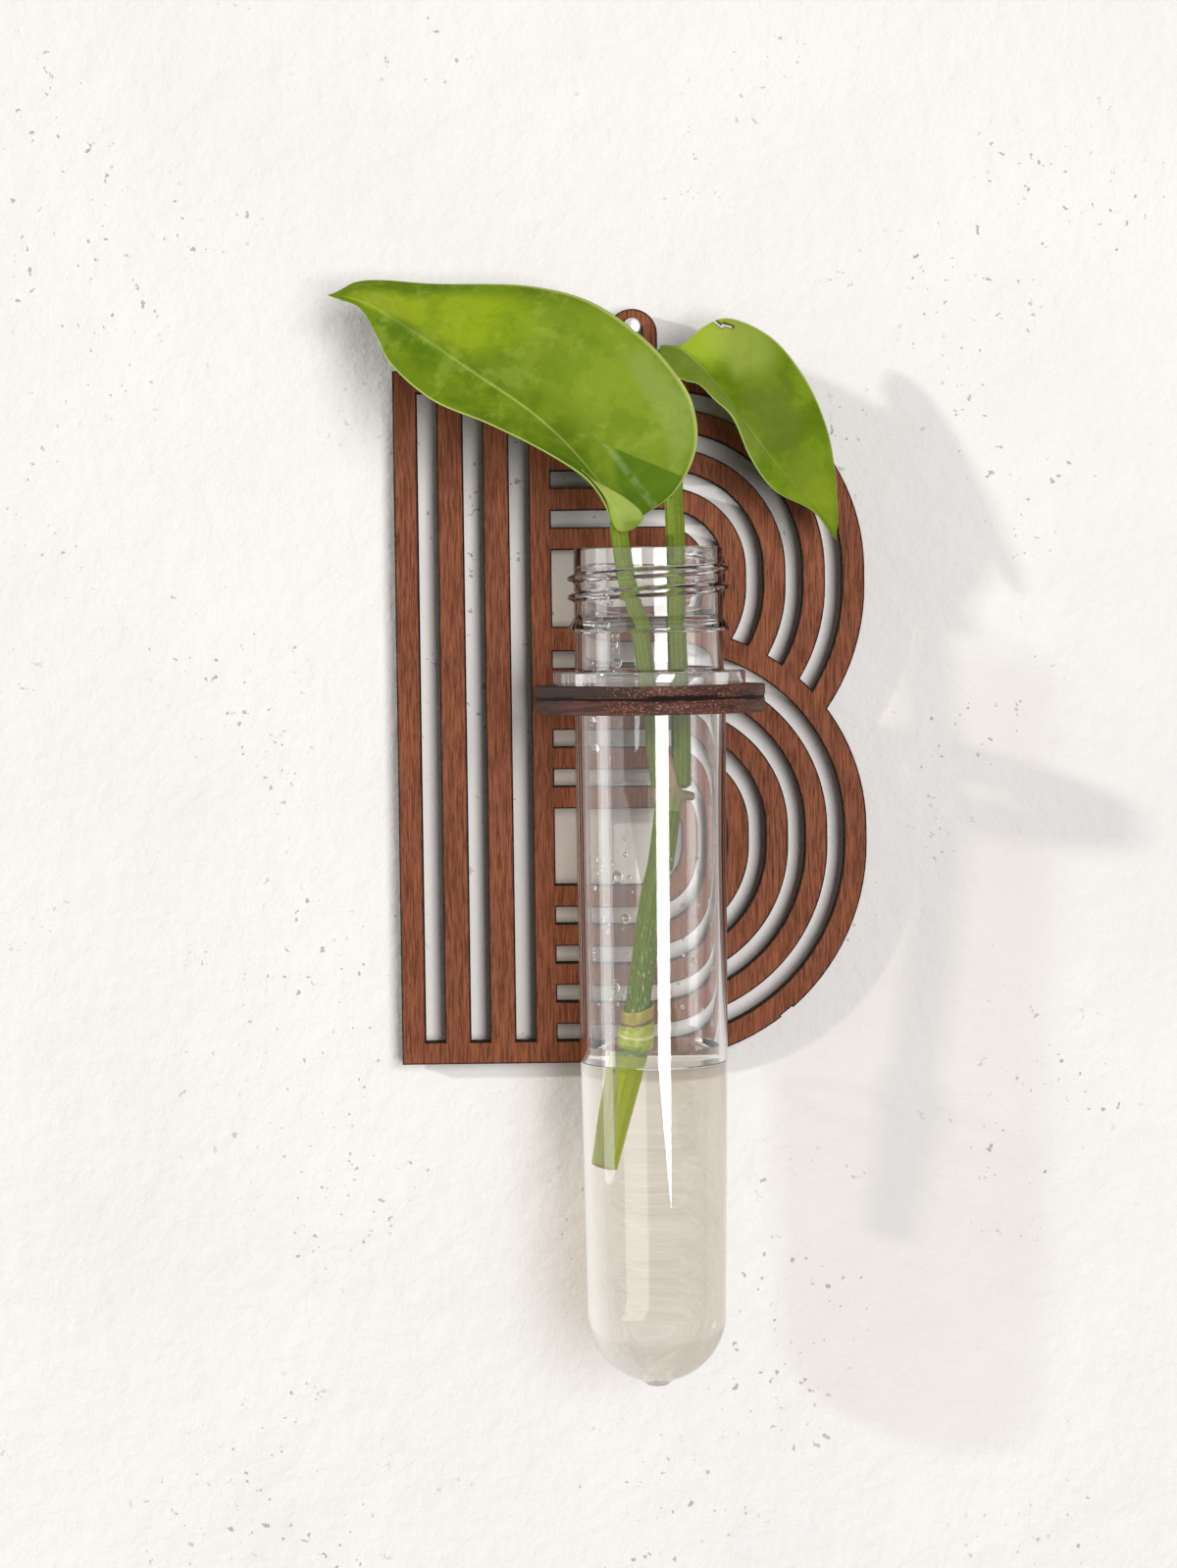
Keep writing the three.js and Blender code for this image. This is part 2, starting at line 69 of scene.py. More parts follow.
def place_camera():
    """A camera whose axes are worked out from its pitch, and then rolled about its view."""
    ahead = Vector((0, math.cos(camera_pitch), -math.sin(camera_pitch)))
    above = Vector((0, math.sin(camera_pitch), math.cos(camera_pitch)))
    beside = Vector((1, 0, 0))
    right = beside * math.cos(camera_roll) - above * math.sin(camera_roll)
    up = beside * math.sin(camera_roll) + above * math.cos(camera_roll)
    lens = bpy.data.cameras.new("camera")
    lens.sensor_width = sensor_size
    lens.lens = sensor_size * focal_pixels / picture_height
    lens.clip_start = 0.01
    camera = bpy.data.objects.new("camera", lens)
    bpy.context.scene.collection.objects.link(camera)
    turn = Matrix((right, up, -ahead)).transposed()
    camera.matrix_world = Matrix.Translation(camera_place) @ turn.to_4x4()
    bpy.context.scene.camera = camera
    return camera


print("Lens:", round(place_camera().data.lens, 2), "mm")

# %% [markdown]
# ## Writing a finish as sums
#
# A finish is a network of nodes, and nodes are long to write. `Mask` wraps a socket that
# carries a number, so that a sum on it adds the Math node that it stands for. `Finish` is one
# material, with `node` to add any other node and a few short names for the nodes used most.

# %% A number on a surface, and a material
class Mask:
    """A socket that carries a number or a colour. A sum on it adds a Math node."""

    def __init__(self, finish, socket):
        self.finish, self.socket = finish, socket

    def math(self, operation, first, second):
        return self.finish.node("ShaderNodeMath", {"operation": operation}, {0: first, 1: second})

    def __add__(self, other):
        return self.math("ADD", self, other)

    def __radd__(self, other):
        return self.math("ADD", other, self)

    def __sub__(self, other):
        return self.math("SUBTRACT", self, other)

    def __rsub__(self, other):
        return self.math("SUBTRACT", other, self)

    def __mul__(self, other):
        return self.math("MULTIPLY", self, other)

    def __rmul__(self, other):
        return self.math("MULTIPLY", other, self)


class Finish:
    """A material for one or more pieces. Sizes are in metres, in the piece's own space."""

    def __init__(self, name, **plain):
        self.material = bpy.data.materials.new(name)
        self.material.use_nodes = True
        self.tree = self.material.node_tree
        self.surface = self.tree.nodes["Principled BSDF"]
        self.place = self.node("ShaderNodeTexCoord", output="Object")
        for socket, value in plain.items():
            self.set(socket.replace("_", " "), value)

    def feed(self, node, socket, value):
        if isinstance(value, Mask):
            self.tree.links.new(value.socket, node.inputs[socket])
        elif isinstance(value, tuple) and node.inputs[socket].type == "RGBA":
            node.inputs[socket].default_value = (*value, 1)
        else:
            node.inputs[socket].default_value = value

    def set(self, socket, value):
        self.feed(self.surface, socket, value)

    def node(self, kind, settings=None, values=None, output=0):
        made = self.tree.nodes.new(kind)
        for name, setting in (settings or {}).items():
            setattr(made, name, setting)
        for socket, value in (values or {}).items():
            self.feed(made, socket, value)
        return Mask(self, made.outputs[output])

    def stretched(self, x, y, z):
        """The piece's own space, with each axis scaled."""
        return self.node("ShaderNodeMapping", values={"Vector": self.place, "Scale": (x, y, z)})

    def noise(self, scale, detail=2, roughness=0.5, space=None, distortion=0):
        values = {"Vector": space or self.place, "Scale": scale, "Detail": detail,
                  "Roughness": roughness, "Distortion": distortion}
        return self.node("ShaderNodeTexNoise", values=values)

    def span(self, value, low, high, to_low=0, to_high=1):
        """The value from low to high as a smooth step from to_low to to_high."""
        values = {"Value": value, "From Min": low, "From Max": high,
                  "To Min": to_low, "To Max": to_high}
        return self.node("ShaderNodeMapRange", {"interpolation_type": "SMOOTHSTEP"}, values)

    def mix(self, share, first, second):
        values = {0: share, 6: first, 7: second}
        return self.node("ShaderNodeMix", {"data_type": "RGBA"}, values, output=2)

    def painted(self, name):
        """A number that the mesh carries on its points."""
        return self.node("ShaderNodeAttribute", {"attribute_name": name}, output="Fac")

    def axis(self, name):
        return self.node("ShaderNodeSeparateXYZ", values={"Vector": self.place}, output=name)

    def absolute(self, value):
        return self.node("ShaderNodeMath", {"operation": "ABSOLUTE"}, {0: value})

    def relief(self, height, depth):
        self.set("Normal", self.node("ShaderNodeBump", values={"Height": height, "Distance": depth}))

    def behind(self, share, other):
        """Mixes the surface with another shader, by share."""
        surface = Mask(self, self.surface.outputs["BSDF"])
        both = self.node("ShaderNodeMixShader", values={0: share, 1: surface, 2: other})
        self.tree.links.new(both.socket, self.tree.nodes["Material Output"].inputs["Surface"])


def srgb(red, green, blue):
    """A colour as a screen shows it, from 0 to 255, as the numbers that light mixes in."""
    parts = []
    for part in (red, green, blue):
        share = part / 255
        parts.append(share / 12.92 if share <= 0.04045 else ((share + 0.055) / 1.055) ** 2.4)
    return tuple(parts)


print("A mid grey gives back", round(srgb(128, 128, 128)[0], 3), "of the light")

# %% [markdown]
# ## From points to a piece
#
# Every piece here is a mesh worked out in millimetres. `piece` turns it to metres, makes its
# faces point outwards, gives it its finish and says which body it moves with and which packed
# solid it stands for.

# %% Make a piece
def piece(name, points, faces, finish, body, stands_for=None, slot=None, paint=None, sharp=30,
          others=()):
    """others holds more finishes, each with a rule that picks its faces by their middle."""
    mesh = bpy.data.meshes.new(name)
    mesh.from_pydata((np.array(points) * MM).tolist(), [], faces)
    for label, values in (paint or {}).items():
        layer = mesh.attributes.new(label, "FLOAT", "POINT")
        layer.data.foreach_set("value", np.array(values, np.float32))
    form = bmesh.new()
    form.from_mesh(mesh)
    bmesh.ops.recalc_face_normals(form, faces=form.faces)
    for face in form.faces:
        face.smooth = True
    for edge in form.edges:
        edge.smooth = len(edge.link_faces) != 2 or edge.calc_face_angle() < math.radians(sharp)
    open_edges = sum(len(edge.link_faces) != 2 for edge in form.edges)
    form.to_mesh(mesh)
    form.free()
    mesh.materials.append(finish.material)
    for number, (other, is_other) in enumerate(others, 1):
        mesh.materials.append(other.material)
        for face in mesh.polygons:
            if is_other(*face.center / MM):
                face.material_index = number
    made = bpy.data.objects.new(name, mesh)
    bpy.context.scene.collection.objects.link(made)
    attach(made, body)
    if stands_for:
        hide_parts(stands_for)
    print(f"{name}: {len(mesh.polygons)} faces, {open_edges} open edges")
    return made


# %% [markdown]
# ## Smooth lines, sweeps and turned forms
#
# The stalks follow lines through a few measured points. `smooth_line` is the centripetal
# Catmull-Rom curve, which passes through its points without loops, cut into even steps.
# `swept` runs a section along such a line and `turned` spins a profile about an upright axis.

# %% Lines and the forms made from them
def arc(centre, radius, start, end, steps=26):
    angles = [start + (end - start) * i / steps for i in range(steps + 1)]
    return [(centre[0] + radius * math.cos(a), centre[1] + radius * math.sin(a)) for a in angles]


def run_along(line):
    """The length from a line's start to each of its points."""
    return np.concatenate([[0], np.cumsum(np.linalg.norm(np.diff(line, axis=0), axis=1))])


def even_points(line, start, end, count):
    """Even points of a line between two lengths from its start."""
    even = np.linspace(start, end, count)
    run = run_along(line)
    return np.column_stack([np.interp(even, run, line[:, axis]) for axis in range(3)])


def band(lower, upper, sides):
    """Faces between two closed rings, from the number of each ring's first point."""
    faces = []
    for j in range(sides):
        k = (j + 1) % sides
        faces.append((lower + j, lower + k, upper + k, upper + j))
    return faces


def smooth_line(points, count):
    """Even points along the centripetal Catmull-Rom curve through points."""
    known = [np.array(point, float) for point in points]
    known = [2 * known[0] - known[1], *known, 2 * known[-1] - known[-2]]
    fine = []
    for four in zip(known, known[1:], known[2:], known[3:]):
        gaps = [np.linalg.norm(b - a) ** 0.5 for a, b in zip(four, four[1:])]
        knots = np.concatenate([[0], np.cumsum(gaps)])
        for t in np.linspace(knots[1], knots[2], 24, endpoint=False):
            level = list(four)
            for reach in (1, 2, 3):
                for i in range(4 - reach):
                    share = (t - knots[i]) / (knots[i + reach] - knots[i])
                    if reach == 3:
                        share = (t - knots[1]) / (knots[2] - knots[1])
                    level[i] = level[i] + (level[i + 1] - level[i]) * share
            fine.append(level[0])
    fine.append(known[-2])
    fine = np.array(fine)
    return even_points(fine, 0, run_along(fine)[-1], count)


def swept(line, radius_at, sides):
    """Rings square to a line. radius_at gives the radius from the share along and the angle."""
    points, faces, shares = [], [], []
    tangents = np.gradient(line, axis=0)
    side = np.array((1.0, 0, 0))
    for i, (centre, tangent) in enumerate(zip(line, tangents)):
        tangent = tangent / np.linalg.norm(tangent)
        side = side - tangent * side.dot(tangent)
        side = side / np.linalg.norm(side)
        other = np.cross(tangent, side)
        share = i / (len(line) - 1)
        for j in range(sides):
            angle = 2 * math.pi * j / sides
            radius = radius_at(share, angle)
            points.append(centre + radius * (math.cos(angle) * side + math.sin(angle) * other))
            shares.append(share)
    for i in range(len(line) - 1):
        faces += band(i * sides, (i + 1) * sides, sides)
    faces.append(tuple(range(sides)))
    faces.append(tuple(range((len(line) - 1) * sides, len(line) * sides)))
    return points, faces, shares


def turned(profile, centre, steps, swell=None):
    """Spins (radius, height) points about an upright axis. Both ends lie on the axis."""
    points, faces = [], []
    rows = []
    for radius, height in profile:
        if radius == 0:
            rows.append([len(points)] * steps)
            points.append((centre[0], centre[1], height))
            continue
        rows.append(list(range(len(points), len(points) + steps)))
        for j in range(steps):
            angle = 2 * math.pi * j / steps
            reach = radius + (swell(angle, radius, height) if swell else 0)
            points.append((centre[0] + reach * math.cos(angle),
                           centre[1] + reach * math.sin(angle), height))
    for lower, upper in zip(rows, rows[1:]):
        for j in range(steps):
            k = (j + 1) % steps
            corners = [lower[j], lower[k], upper[k], upper[j]]
            faces.append(tuple(dict.fromkeys(corners)))
    return points, faces


print("A test line has", len(smooth_line([(0, 0, 0), (1, 0, 1), (2, 0, 1)], 9)), "points")

# %% [markdown]
# ## Sizes that the pieces share
#
# They repeat the part's own sizes in millimetres. The origin is the centre of the hanging hole
# at the panel's back, and the tube's flange rests on the ring at `seat_z`.

# %% Shared sizes
seat_z = -62.05
rim_z = -38.55
axis_x, axis_y = 2.0, -24.0
body_radius, waist_radius, foot_radius = 13.05, 12.75, 12.05
neck_radius, thread_radius, bead_radius = 12.8, 13.9, 14.0
flange_radius, flange_thick = 16.5, 2.35
tube_wall = 1.4
tube_below_seat, waist_below_seat, water_depth = 120.8, 62.0, 54.1
tube_bottom = seat_z - tube_below_seat
inner_bottom = tube_bottom + tube_wall
waist_z = seat_z - waist_below_seat
dome_z = tube_bottom + foot_radius
water_z = inner_bottom + water_depth
foot_bore, waist_bore, bore = (r - tube_wall for r in (foot_radius, waist_radius, body_radius))


def from_seat(x, y, z):
    return axis_x + x, axis_y + y, seat_z + z


def from_rim(x, y, z):
    return axis_x + x, axis_y + y, rim_z + z


print("The tube runs from", round(tube_bottom, 2), "to", rim_z, "mm")

# %% [markdown]
# ## Plywood, cut by a laser
#
# The panel and the ring are sheets with the same kind of edge: the laser leaves a burnt wall,
# and smoke darkens a narrow margin of the face. So both come from one function. It takes
# shapes drawn flat, keeps the triangles that a rule calls wood, and finds their outlines. Then
# it steps each outline in and out row by row to make the wall, a tiny bevel and the margin, and
# paints how burnt each row is.

# %% Cut flat shapes and give the sheet its edge
def triangles_of(shapes, rule):
    """Cuts labelled outlines against each other, and keeps the triangles the rule picks."""
    points, polygons, labels = [], [], []
    for label, outline in shapes:
        polygons.append(list(range(len(points), len(points) + len(outline))))
        points += [Vector(point) for point in outline]
        labels.append(label)
    spots, _, triangles, _, _, sources = delaunay_2d_cdt(points, [], polygons, 0, 1e-4)
    kept = [t for t, s in zip(triangles, sources) if rule({labels[i] for i in s})]
    return [tuple(spot) for spot in spots], kept


def outlines_of(spots, triangles):
    """The loops round a set of triangles, each with the wood on its left."""
    sides = {}
    for triangle in triangles:
        a, b, c = (np.array(spots[i]) for i in triangle)
        turn = (b[0] - a[0]) * (c[1] - a[1]) - (b[1] - a[1]) * (c[0] - a[0])
        ring = triangle if turn > 0 else triangle[::-1]
        for start, end in zip(ring, ring[1:] + ring[:1]):
            sides[start, end] = True
    after = {start: end for start, end in sides if (end, start) not in sides}
    loops = []
    while after:
        start, here = after.popitem()
        loop = [start]
        while here != start:
            loop.append(here)
            here = after.pop(here)
        loops.append(tidy([spots[i] for i in loop]))
    return loops


def tidy(loop, least=0.05):
    """Leaves out points that lie closer to the last one than least."""
    kept = [loop[-1]]
    for point in loop:
        if math.dist(point, kept[-1]) > least:
            kept.append(point)
    return kept[1:]


def inset(loop, distance, longest=2.0):
    """Moves an outline into the wood, with mitred corners that are kept short."""
    here = np.array(loop)
    along = np.roll(here, -1, axis=0) - here
    along = along / np.linalg.norm(along, axis=1)[:, None]
    ahead = np.column_stack([-along[:, 1], along[:, 0]])
    behind = np.roll(ahead, 1, axis=0)
    both = ahead + behind
    length = 1 + (ahead * behind).sum(axis=1)
    mitre = both / np.maximum(length, 2 / longest ** 2)[:, None]
    return here + mitre * distance


def sheet_of_ply(loops, rows, lift):
    """Walls and faces from outlines. A row is its inset, its depth and how burnt it is."""
    points, faces, soot = [], [], []
    starts = []
    for step, depth, burnt in rows:
        starts.append(len(points))
        for loop in loops:
            for x, y in inset(loop, step):
                points.append(lift(x, y, depth))
                soot.append(burnt)
    sizes = [len(loop) for loop in loops]
    for low, high in zip(starts, starts[1:]):
        begin = 0
        for size in sizes:
            faces += band(low + begin, high + begin, size)
            begin += size
    for start, (step, _, _) in ((starts[0], rows[0]), (starts[-1], rows[-1])):
        flat = [Vector(p) for loop in loops for p in inset(loop, step)]
        edges, begin = [], 0
        for size in sizes:
            edges += [(begin + j, begin + (j + 1) % size) for j in range(size)]
            begin += size
        spots, _, triangles, sources, _, _ = delaunay_2d_cdt(flat, edges, [], 1, 1e-6)
        names = [source[0] for source in sources]
        middles = np.array(spots)[np.array(triangles)].mean(axis=1)
        for triangle, solid in zip(triangles, inside(middles, np.array(flat), edges)):
            if solid:
                faces.append(tuple(start + names[i] for i in triangle))
    return points, faces, soot


def inside(middles, flat, edges):
    """True where a line to the right crosses the outlines an odd number of times."""
    crossings = np.zeros(len(middles), int)
    for (ax, ay), (bx, by) in flat[np.array(edges)]:
        spans = (ay > middles[:, 1]) != (by > middles[:, 1])
        if spans.any():
            crossings += spans & (middles[:, 0] < ax + (middles[:, 1] - ay) * (bx - ax) / (by - ay))
    return crossings % 2 == 1


square = [(0, 0), (4, 0), (4, 4), (0, 4)]
print("A square inset by 1:", np.round(inset(square, 1), 2).tolist())

# %% [markdown]
# ## The finish of the stained plywood
#
# The face veneer is reddish brown with fine dark pores that run upright. Noise that is
# squeezed sideways and stretched upright gives the grain, and a slower noise gives its broad
# bands. One noise of short streaks gives dark pores at its high end and bright flecks at its low
# end. `soot` is painted on the mesh by the edge function, and a noise breaks its margin up as
# smoke does.

# %% Stained plywood
def stained_ply(name, light, dark, char, gloss=0.5):
    wood = Finish(name, Specular_IOR_Level=0.14)
    fibre = wood.noise(1, detail=5, roughness=0.65, space=wood.stretched(3600, 3600, 150))
    fleck = wood.noise(1, detail=2, space=wood.stretched(4800, 4800, 330), distortion=0.1)
    bands = wood.noise(1, detail=3, space=wood.stretched(300, 300, 18), distortion=0.5)
    pore = wood.span(fleck, 0.56, 0.66)
    bright = wood.span(fleck, 0.44, 0.35)
    tone = wood.span(fibre * 0.9 + bands * 0.25, 0.42, 0.72)
    colour = wood.mix(tone, dark, light)
    colour = wood.mix(pore * 0.35, colour, tuple(0.35 * part for part in dark))
    colour = wood.mix(bright * 0.3, colour, tuple(min(1, 1.5 * part) for part in light))
    smoke = wood.noise(1500, detail=3)
    burnt = wood.span(wood.painted("soot") + (smoke - 0.5) * 0.6, 0.3, 0.9)
    wood.set("Base Color", wood.mix(burnt, colour, char))
    wood.set("Roughness", gloss + burnt * 0.2 + pore * 0.15)
    wood.relief(fibre * 0.7 - pore * 0.8 + wood.noise(5200) * burnt, 0.00008)
    return wood


panel_wood = stained_ply("panel_wood", srgb(143, 82, 53), srgb(100, 53, 32), srgb(26, 19, 15))
print("Stained ply has", len(panel_wood.tree.nodes), "nodes")

# %% [markdown]
# ## The letter panel
#
# The panel is a capital B drawn by parallel bars. Its outlines are the same as the solid's,
# with three times as many steps on the arcs. An upright bar on the left holds three long slots,
# and each bowl has a counter and four slots round it. The lower bowl lies over the upper one.

# %% Outlines of the panel
panel_left, panel_top, panel_bottom = -42.6, -6.4, -130.0
edge_bar, frame_bar = 4.2, 4.0
upright_slots, upright_slot, upright_bar = 3, 3.5, 4.6
slot_left = -14.8
stem_inner = -16.75
bowl_x, bowl_shoulder = 2.0, 3.0
bowl_slots, counter_radius, bowl_bar, bowl_slot = 4, 6.8, 4.0, 3.0
bowl_radius = counter_radius + bowl_slots * (bowl_bar + bowl_slot) + bowl_bar
bowl_spacing = 46
upper_z, lower_z = panel_top - bowl_radius, panel_top - bowl_radius - bowl_spacing
ear_radius, ear_drop, ear_root, hole_radius = 4.45, 0.4, 2.0, 1.8
bracket_mid, bracket_thick, tenon_width = -64.4, 4.7, 10.6
pad_margin, tenon_clearance = 2.4, 0.15
scar_angle = -0.892


def box_outline(x0, z0, x1, z1):
    return [(x0, z0), (x1, z0), (x1, z1), (x0, z1)]


def bowl_outline(left, centre, radius):
    """Straight from the left, a quarter circle below and a pushed-out one above."""
    below = arc((bowl_x, centre), radius, -math.pi / 2, 0)
    pushed = (bowl_x + bowl_shoulder, centre + bowl_shoulder)
    above = arc(pushed, radius - bowl_shoulder, 0, math.pi / 2)
    outline = [(left, centre - radius), *below, *above, (left, centre + radius)]
    return tidy(outline, 0.001)


def panel_shapes():
    shapes = [("stem", box_outline(panel_left, panel_bottom, slot_left, panel_top)),
              ("upper", bowl_outline(stem_inner, upper_z, bowl_radius)),
              ("lower", bowl_outline(stem_inner, lower_z, bowl_radius))]
    for i in range(upright_slots):
        left = panel_left + edge_bar + i * (upright_slot + upright_bar)
        shapes.append(("slot", box_outline(left, panel_bottom + frame_bar,
                                           left + upright_slot, panel_top - frame_bar)))
    for bowl, centre in (("upper", upper_z), ("lower", lower_z)):
        shapes.append((f"{bowl} counter", bowl_outline(slot_left, centre, counter_radius)))
        for i in range(bowl_slots):
            inner = counter_radius + bowl_bar + i * (bowl_slot + bowl_bar)
            outer = inner + bowl_slot
            shapes.append((f"{bowl} out {i}", bowl_outline(slot_left, centre, outer)))
            shapes.append((f"{bowl} in {i}", bowl_outline(slot_left - bowl_bar, centre, inner)))
    pad = tenon_width / 2 + pad_margin
    mortise_x = tenon_width / 2 + tenon_clearance
    mortise_z = bracket_thick / 2 + tenon_clearance
    shapes.append(("pad", box_outline(bowl_x - pad, bracket_mid - bracket_thick,
                                      bowl_x + pad, bracket_mid + bracket_thick)))
    shapes.append(("gone", box_outline(bowl_x - mortise_x, bracket_mid - mortise_z,
                                       bowl_x + mortise_x, bracket_mid + mortise_z)))
    ear = [(-ear_radius, panel_top - ear_root), (ear_radius, panel_top - ear_root),
           *arc((0, -ear_drop), ear_radius, 0, math.pi, 40)]
    shapes.append(("ear", ear))
    shapes.append(("gone", arc((0, 0), hole_radius, 0, 2 * math.pi, 40)[:-1]))
    shapes.append(("gone", scar_outline()))
    return shapes


def scar_outline(width=2.6, depth=0.3):
    """The little flat where the panel was broken out of its sheet."""
    across, along = math.cos(scar_angle), math.sin(scar_angle)
    out, side = depth, width / 2
    corners = []
    for x, z in ((-out, -side), (out, -side), (out, side), (-out, side)):
        reach = bowl_radius + x
        corners.append((bowl_x + reach * across - z * along,
                        lower_z + reach * along + z * across))
    return corners


def is_wood(labels):
    if not labels & {"stem", "upper", "lower", "ear"} or "slot" in labels or "gone" in labels:
        return False
    for bowl, cover in (("upper", "lower"), ("lower", "pad")):
        if cover in labels:
            continue
        if f"{bowl} counter" in labels:
            return False
        for i in range(bowl_slots):
            if f"{bowl} out {i}" in labels and f"{bowl} in {i}" not in labels:
                return False
    return True


panel_loops = outlines_of(*triangles_of(panel_shapes(), is_wood))
print("The panel has", len(panel_loops), "outlines with", sum(map(len, panel_loops)), "points")

# %% [markdown]
# The rows go from the front face, round the edge, to the back face. Each says how far it steps
# in, its distance from the back and how burnt it is. The wall is three plies, so the rows
# between them step in by a few hundredths of a millimetre.

# %% Build the panel
panel_rows = [(0.45, 3.0, 0.0), (0.25, 3.0, 0.55), (0.07, 3.0, 1.0), (0.0, 2.93, 1.0),
              (0.03, 2.1, 1.0), (0.07, 2.0, 1.0), (0.07, 1.0, 1.0), (0.03, 0.9, 1.0),
              (0.0, 0.07, 1.0), (0.07, 0.0, 1.0), (0.25, 0.0, 0.6), (0.45, 0.0, 0.0)]
panel_mesh = sheet_of_ply(panel_loops, panel_rows, lambda x, z, depth: (x, -depth, z))
piece("panel", panel_mesh[0], panel_mesh[1], panel_wood, "panel", "letter_panel",
      "stained_plywood", {"soot": panel_mesh[2]})

# %% [markdown]
# ## The ring bracket
#
# The ring lies flat, so its layered edge is what the room sees: a veneer above and below, and
# between them a burnt, recessed core. The same edge function makes it, with deeper steps. It
# ends a hair below the flange, so that the two faces never share a plane.

# %% Build the bracket
ring_bore, ring_outer = 13.35, 19.85
bracket_back, tenon_end, shoulder_width = -3.0, -0.3, 16.0
rest_gap = 0.02
groove_z = -0.0642


def bracket_shapes():
    half_shoulder, half_tenon = shoulder_width / 2, tenon_width / 2
    turn = math.acos(half_shoulder / ring_outer)
    plate = [(bowl_x + half_shoulder, bracket_back), (bowl_x + half_tenon, bracket_back),
             (bowl_x + half_tenon, tenon_end), (bowl_x - half_tenon, tenon_end),
             (bowl_x - half_tenon, bracket_back), (bowl_x - half_shoulder, bracket_back),
             *arc((axis_x, axis_y), ring_outer, math.pi - turn, 2 * math.pi + turn, 150)]
    hole = arc((axis_x, axis_y), ring_bore, 0, 2 * math.pi, 110)[:-1]
    return [("plate", plate), ("hole", hole)]


bracket_rows = [(0.7, 0.0, 0.3), (0.25, 0.0, 0.8), (0.1, 0.0, 1.1), (0.0, 0.1, 0.7),
                (0.0, 0.9, 0.3), (0.03, 1.75, 0.5), (0.12, 1.92, 1.1), (0.2, 2.12, 1.4),
                (0.14, 2.3, 0.9), (0.05, 2.5, 0.5), (0.09, 2.75, 1.0), (0.02, 2.95, 0.5),
                (0.0, 3.9, 0.3), (0.0, 4.6, 0.6), (0.1, 4.7, 1.0), (0.25, 4.7, 0.8),
                (0.7, 4.7, 0.3)]
bracket_loops = outlines_of(*triangles_of(bracket_shapes(), lambda labels: labels == {"plate"}))
bracket_mesh = sheet_of_ply(bracket_loops, bracket_rows,
                            lambda x, y, depth: (x, y, seat_z - rest_gap - depth))


def scorched_edge():
    """Half burnt end grain in reddish plies: grey upper left, painted sparkle right, painted shade far
    left.
    """
    edge = Finish("scorched_edge", Specular_IOR_Level=0.2)
    x, z = edge.axis("X"), edge.axis("Z")
    layers = edge.noise(1, detail=4, roughness=0.6, space=edge.stretched(160, 160, 1400))
    grit = edge.noise(1, detail=3, roughness=0.7, space=edge.stretched(1900, 1900, 3200))
    slow = edge.noise(90, detail=2)
    upper = edge.span(z, -0.06395, -0.0637)
    colour = edge.mix(edge.span(layers, 0.35, 0.65), srgb(58, 32, 26), srgb(96, 56, 46))
    # The upper ply is greyer on the left half of the ring.
    greyer_upper_left = edge.span(x + slow * 0.008, 0.002, 0.009, 1, 0) * upper
    colour = edge.mix(greyer_upper_left * 0.8, colour, edge.mix(grit, srgb(30, 24, 22), srgb(54, 46, 43)))
    # Painted shade: the far left end of the edge, which faces away from the window, is darker.
    far = edge.span(x + slow * 0.004, -0.013, -0.008, 1, 0)
    colour = edge.mix(far * 0.6, colour, srgb(40, 28, 25))
    wider = edge.span(x, -0.001, 0.003) * edge.span(x, 0.016, 0.010)
    ragged = edge.absolute(z - groove_z) + (layers - 0.5) * 0.0022 - wider * 0.0003
    groove = edge.span(ragged, 0.0004, 0.0)
    corner = edge.span(edge.painted("soot") + (layers - 0.5) * 0.8, 0.85, 1.2)
    burnt = groove.math("MAXIMUM", groove, corner)
    colour = edge.mix(burnt, colour, srgb(26, 16, 14))
    lit = edge.span(x + slow * 0.006, -0.006, 0.002) * edge.span(x, 0.013, 0.021, 1, 0.25)
    # Painted highlight: pale sparkle standing for the window's reflection on the right of the ring's
    # edge, where lit is high.
    painted_sparkle = edge.span(grit, 0.52, 0.68) * lit * (1 - burnt)
    edge.set("Base Color", edge.mix(painted_sparkle * 0.7, colour, srgb(180, 128, 108)))
    edge.set("Roughness", 0.55 + burnt * 0.3 - painted_sparkle * 0.25)
    edge.relief(layers * 0.8 + grit * 0.5, 0.00015)
    return edge


bracket_wood = scorched_edge()
piece("bracket", bracket_mesh[0], bracket_mesh[1], bracket_wood, "panel", "tube_bracket",
      "bracket_plywood", {"soot": bracket_mesh[2]})

# %% [markdown]
# ## The pin
#
# A plain bright wire pin with a small domed head. Only its head shows, inside the ear's hole.

# %% Build the pin
pin_radius, pin_head, pin_z = 0.9, 1.5, 0.8
pin_in_wall, shaft_end, head_front = 15.0, 4.6, 5.4
steel = Finish("pin_steel", Metallic=0.9, Roughness=0.28)
steel.set("Base Color", steel.mix(steel.noise(2500), (0.86, 0.86, 0.85), (0.62, 0.62, 0.61)))
steel.relief(steel.noise(1, detail=2, space=steel.stretched(9000, 500, 9000)), 0.00001)


def pin_mesh():
    profile = [(0, -pin_in_wall), (0.35, 0.8 - pin_in_wall), (pin_radius, 2 - pin_in_wall),
               (pin_radius, shaft_end - 0.15), (pin_radius + 0.1, shaft_end),
               (pin_head - 0.1, shaft_end), (pin_head, shaft_end + 0.1),
               (pin_head, head_front - 0.45), (pin_head * 0.8, head_front - 0.15),
               (pin_head * 0.4, head_front - 0.02), (0, head_front)]
    points, faces = turned(profile, (0, 0), 40)
    return [(x, -z, y + pin_z) for x, y, z in points], faces


piece("pin", *pin_mesh(), steel, "pin", "wall_pin", "pin_steel")

